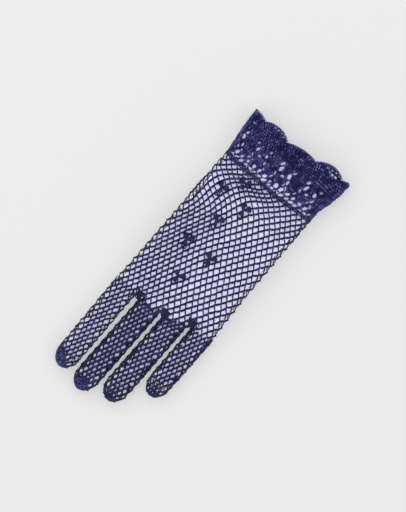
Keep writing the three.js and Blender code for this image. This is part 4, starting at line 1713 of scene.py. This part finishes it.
# Each finger's tube, gauge and where its close work starts
FINGERS = (
    Finger(
        "little_finger",
        FingerTube(-0.87, -0.876, 0.944, 57, 17.6, 0.98, Columns(3.1, 2.4, 3.1), twist=0.012),
        Gauge(full=1.12, thin=0.68, bow=0.25, stray=0.05),
        (54.0, 58.0, 60.0),
        (2, 0.75),
        fine_from=152.0,
    ),
    Finger(
        "ring_finger",
        FingerTube(-0.35, -0.36, 0.987, 74, 18.0, 1.04, Columns(3.3, 2.2, 3.3), twist=0.016),
        Gauge(full=1.2, thin=0.74, bow=0.25, stray=0.05),
        (75.4, 76.2, 76.2),
        (4, 0.62),
        fine_from=178.0,
    ),
    Finger(
        "middle_finger",
        FingerTube(0.174, 0.17, 1.0235, 78, 17.8, 1.0, Columns(3.3, 2.2, 3.3)),
        Gauge(full=1.25, thin=0.77, bow=0.2, stray=0.05),
        (73.5, 67.5, 71.5),
        (3, 0.66),
        fine_from=187.5,
    ),
    Finger(
        "index_finger",
        FingerTube(0.725, 0.684, 1.019, 75, 18.8, 0.95, Columns(3.4, 2.1, 3.4), twist=0.035),
        Gauge(full=1.03, thin=0.6, bow=0.25, stray=0.05),
        (75.5, 66.5, 62.0),
        fine_from=183.5,
        card_inset=3.2,
    ),
)


class Studio:
    """A pale sweep of paper under even light, and the camera straight above."""

    PAPER = "e8e8e8"
    SHADED = "9c9c9c"
    FRAME = (0.2899, 0.3656)  # width and height of what the camera sees, in metres
    AIM = (0.0018, 0.0687)
    LEVEL = 0.01  # how far up it is as wide as that
    HEIGHT = 2.5
    TURN = 221.4
    PAPER_GLOW = 0.52
    ROOM = 1.12
    LAMP = {"shape": "SQUARE", "size": 1.6, "energy": 6.0}
    LAMP_AT = (0.7, -0.2, 1.5)
    LIT = (0.0, 0.07, 0.0)

    def build(self) -> None:
        """Makes the floor, the lights and the camera."""
        self.floor()
        self.lights()
        self.camera()

    def floor(self) -> None:
        """Lays the paper."""
        bm = bmesh.new()
        bmesh.ops.create_grid(bm, x_segments=2, y_segments=2, size=4.0)
        mesh = bpy.data.meshes.new("paper")
        bm.to_mesh(mesh)
        bm.free()
        material, _ = new_material(
            "matt_paper",
            Base_Color=linear(self.SHADED),
            Roughness=0.95,
            Specular_IOR_Level=0.1,
            Emission_Color=linear(self.PAPER),
            Emission_Strength=self.PAPER_GLOW,
        )
        mesh.materials.append(material)
        paper = bpy.data.objects.new("paper", mesh)
        bpy.context.scene.collection.objects.link(paper)

    def lights(self) -> None:
        """Hangs one broad lamp in an even white room."""
        world = bpy.data.worlds.new("room")
        world.use_nodes = True
        background = world.node_tree.nodes["Background"].inputs
        background["Color"].default_value = (1, 1, 1, 1)
        background["Strength"].default_value = self.ROOM
        bpy.context.scene.world = world
        lamp = bpy.data.lights.new("broad_lamp", "AREA")
        for name, value in self.LAMP.items():
            setattr(lamp, name, value)
        light = bpy.data.objects.new("broad_lamp", lamp)
        light.location = self.LAMP_AT
        aim = Vector(self.LIT) - light.location
        light.rotation_euler = aim.to_track_quat("-Z", "Y").to_euler()
        bpy.context.scene.collection.objects.link(light)
        bpy.context.scene.view_settings.view_transform = "Standard"

    def camera(self) -> None:
        """Sets the camera straight above the glove, turned as the photograph is."""
        data = bpy.data.cameras.new("camera")
        data.sensor_width = 36.0
        data.lens = data.sensor_width * (self.HEIGHT - self.LEVEL) / self.FRAME[1]
        data.clip_end = 10.0
        camera = bpy.data.objects.new("camera", data)
        camera.location = (*self.AIM, self.HEIGHT)
        camera.rotation_euler = (0, 0, math.radians(self.TURN))
        bpy.context.scene.collection.objects.link(camera)
        bpy.context.scene.camera = camera


def dress_card() -> None:
    """Gives the card inside the glove its paper."""
    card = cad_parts["stiffener_card"]
    card.data.materials.clear()
    # The last colour is the card's painted glow, which brightens it as more light would
    card.data.materials.append(CardFinish("bleached_paperboard", "f5f4ff", "edecff", "c2c0ff").make())


def main() -> None:
    """Builds the glove's looks in order."""
    logging.basicConfig(level=logging.INFO, format="%(name)s: %(message)s")
    Studio().build()
    materials = {finish: finish.value.make() for finish in Finish}
    dress_card()
    Hand().build(materials[Finish.NET])
    for number, finger in enumerate(FINGERS):
        finger.build(SEED + 20 + number, materials[Finish.NET], materials[Finish.TIP])
    Thumb().build(materials[Finish.NET])
    Webs().build(materials[Finish.NET])
    Elastic().build(materials[Finish.ELASTIC], materials[Finish.NET])
    Cuff().build_lace(materials[Finish.LACE])
    Cuff().build_edging(materials[Finish.LACE])
    Flowers().build(materials[Finish.NET])


if __name__ == "__main__":
    main()
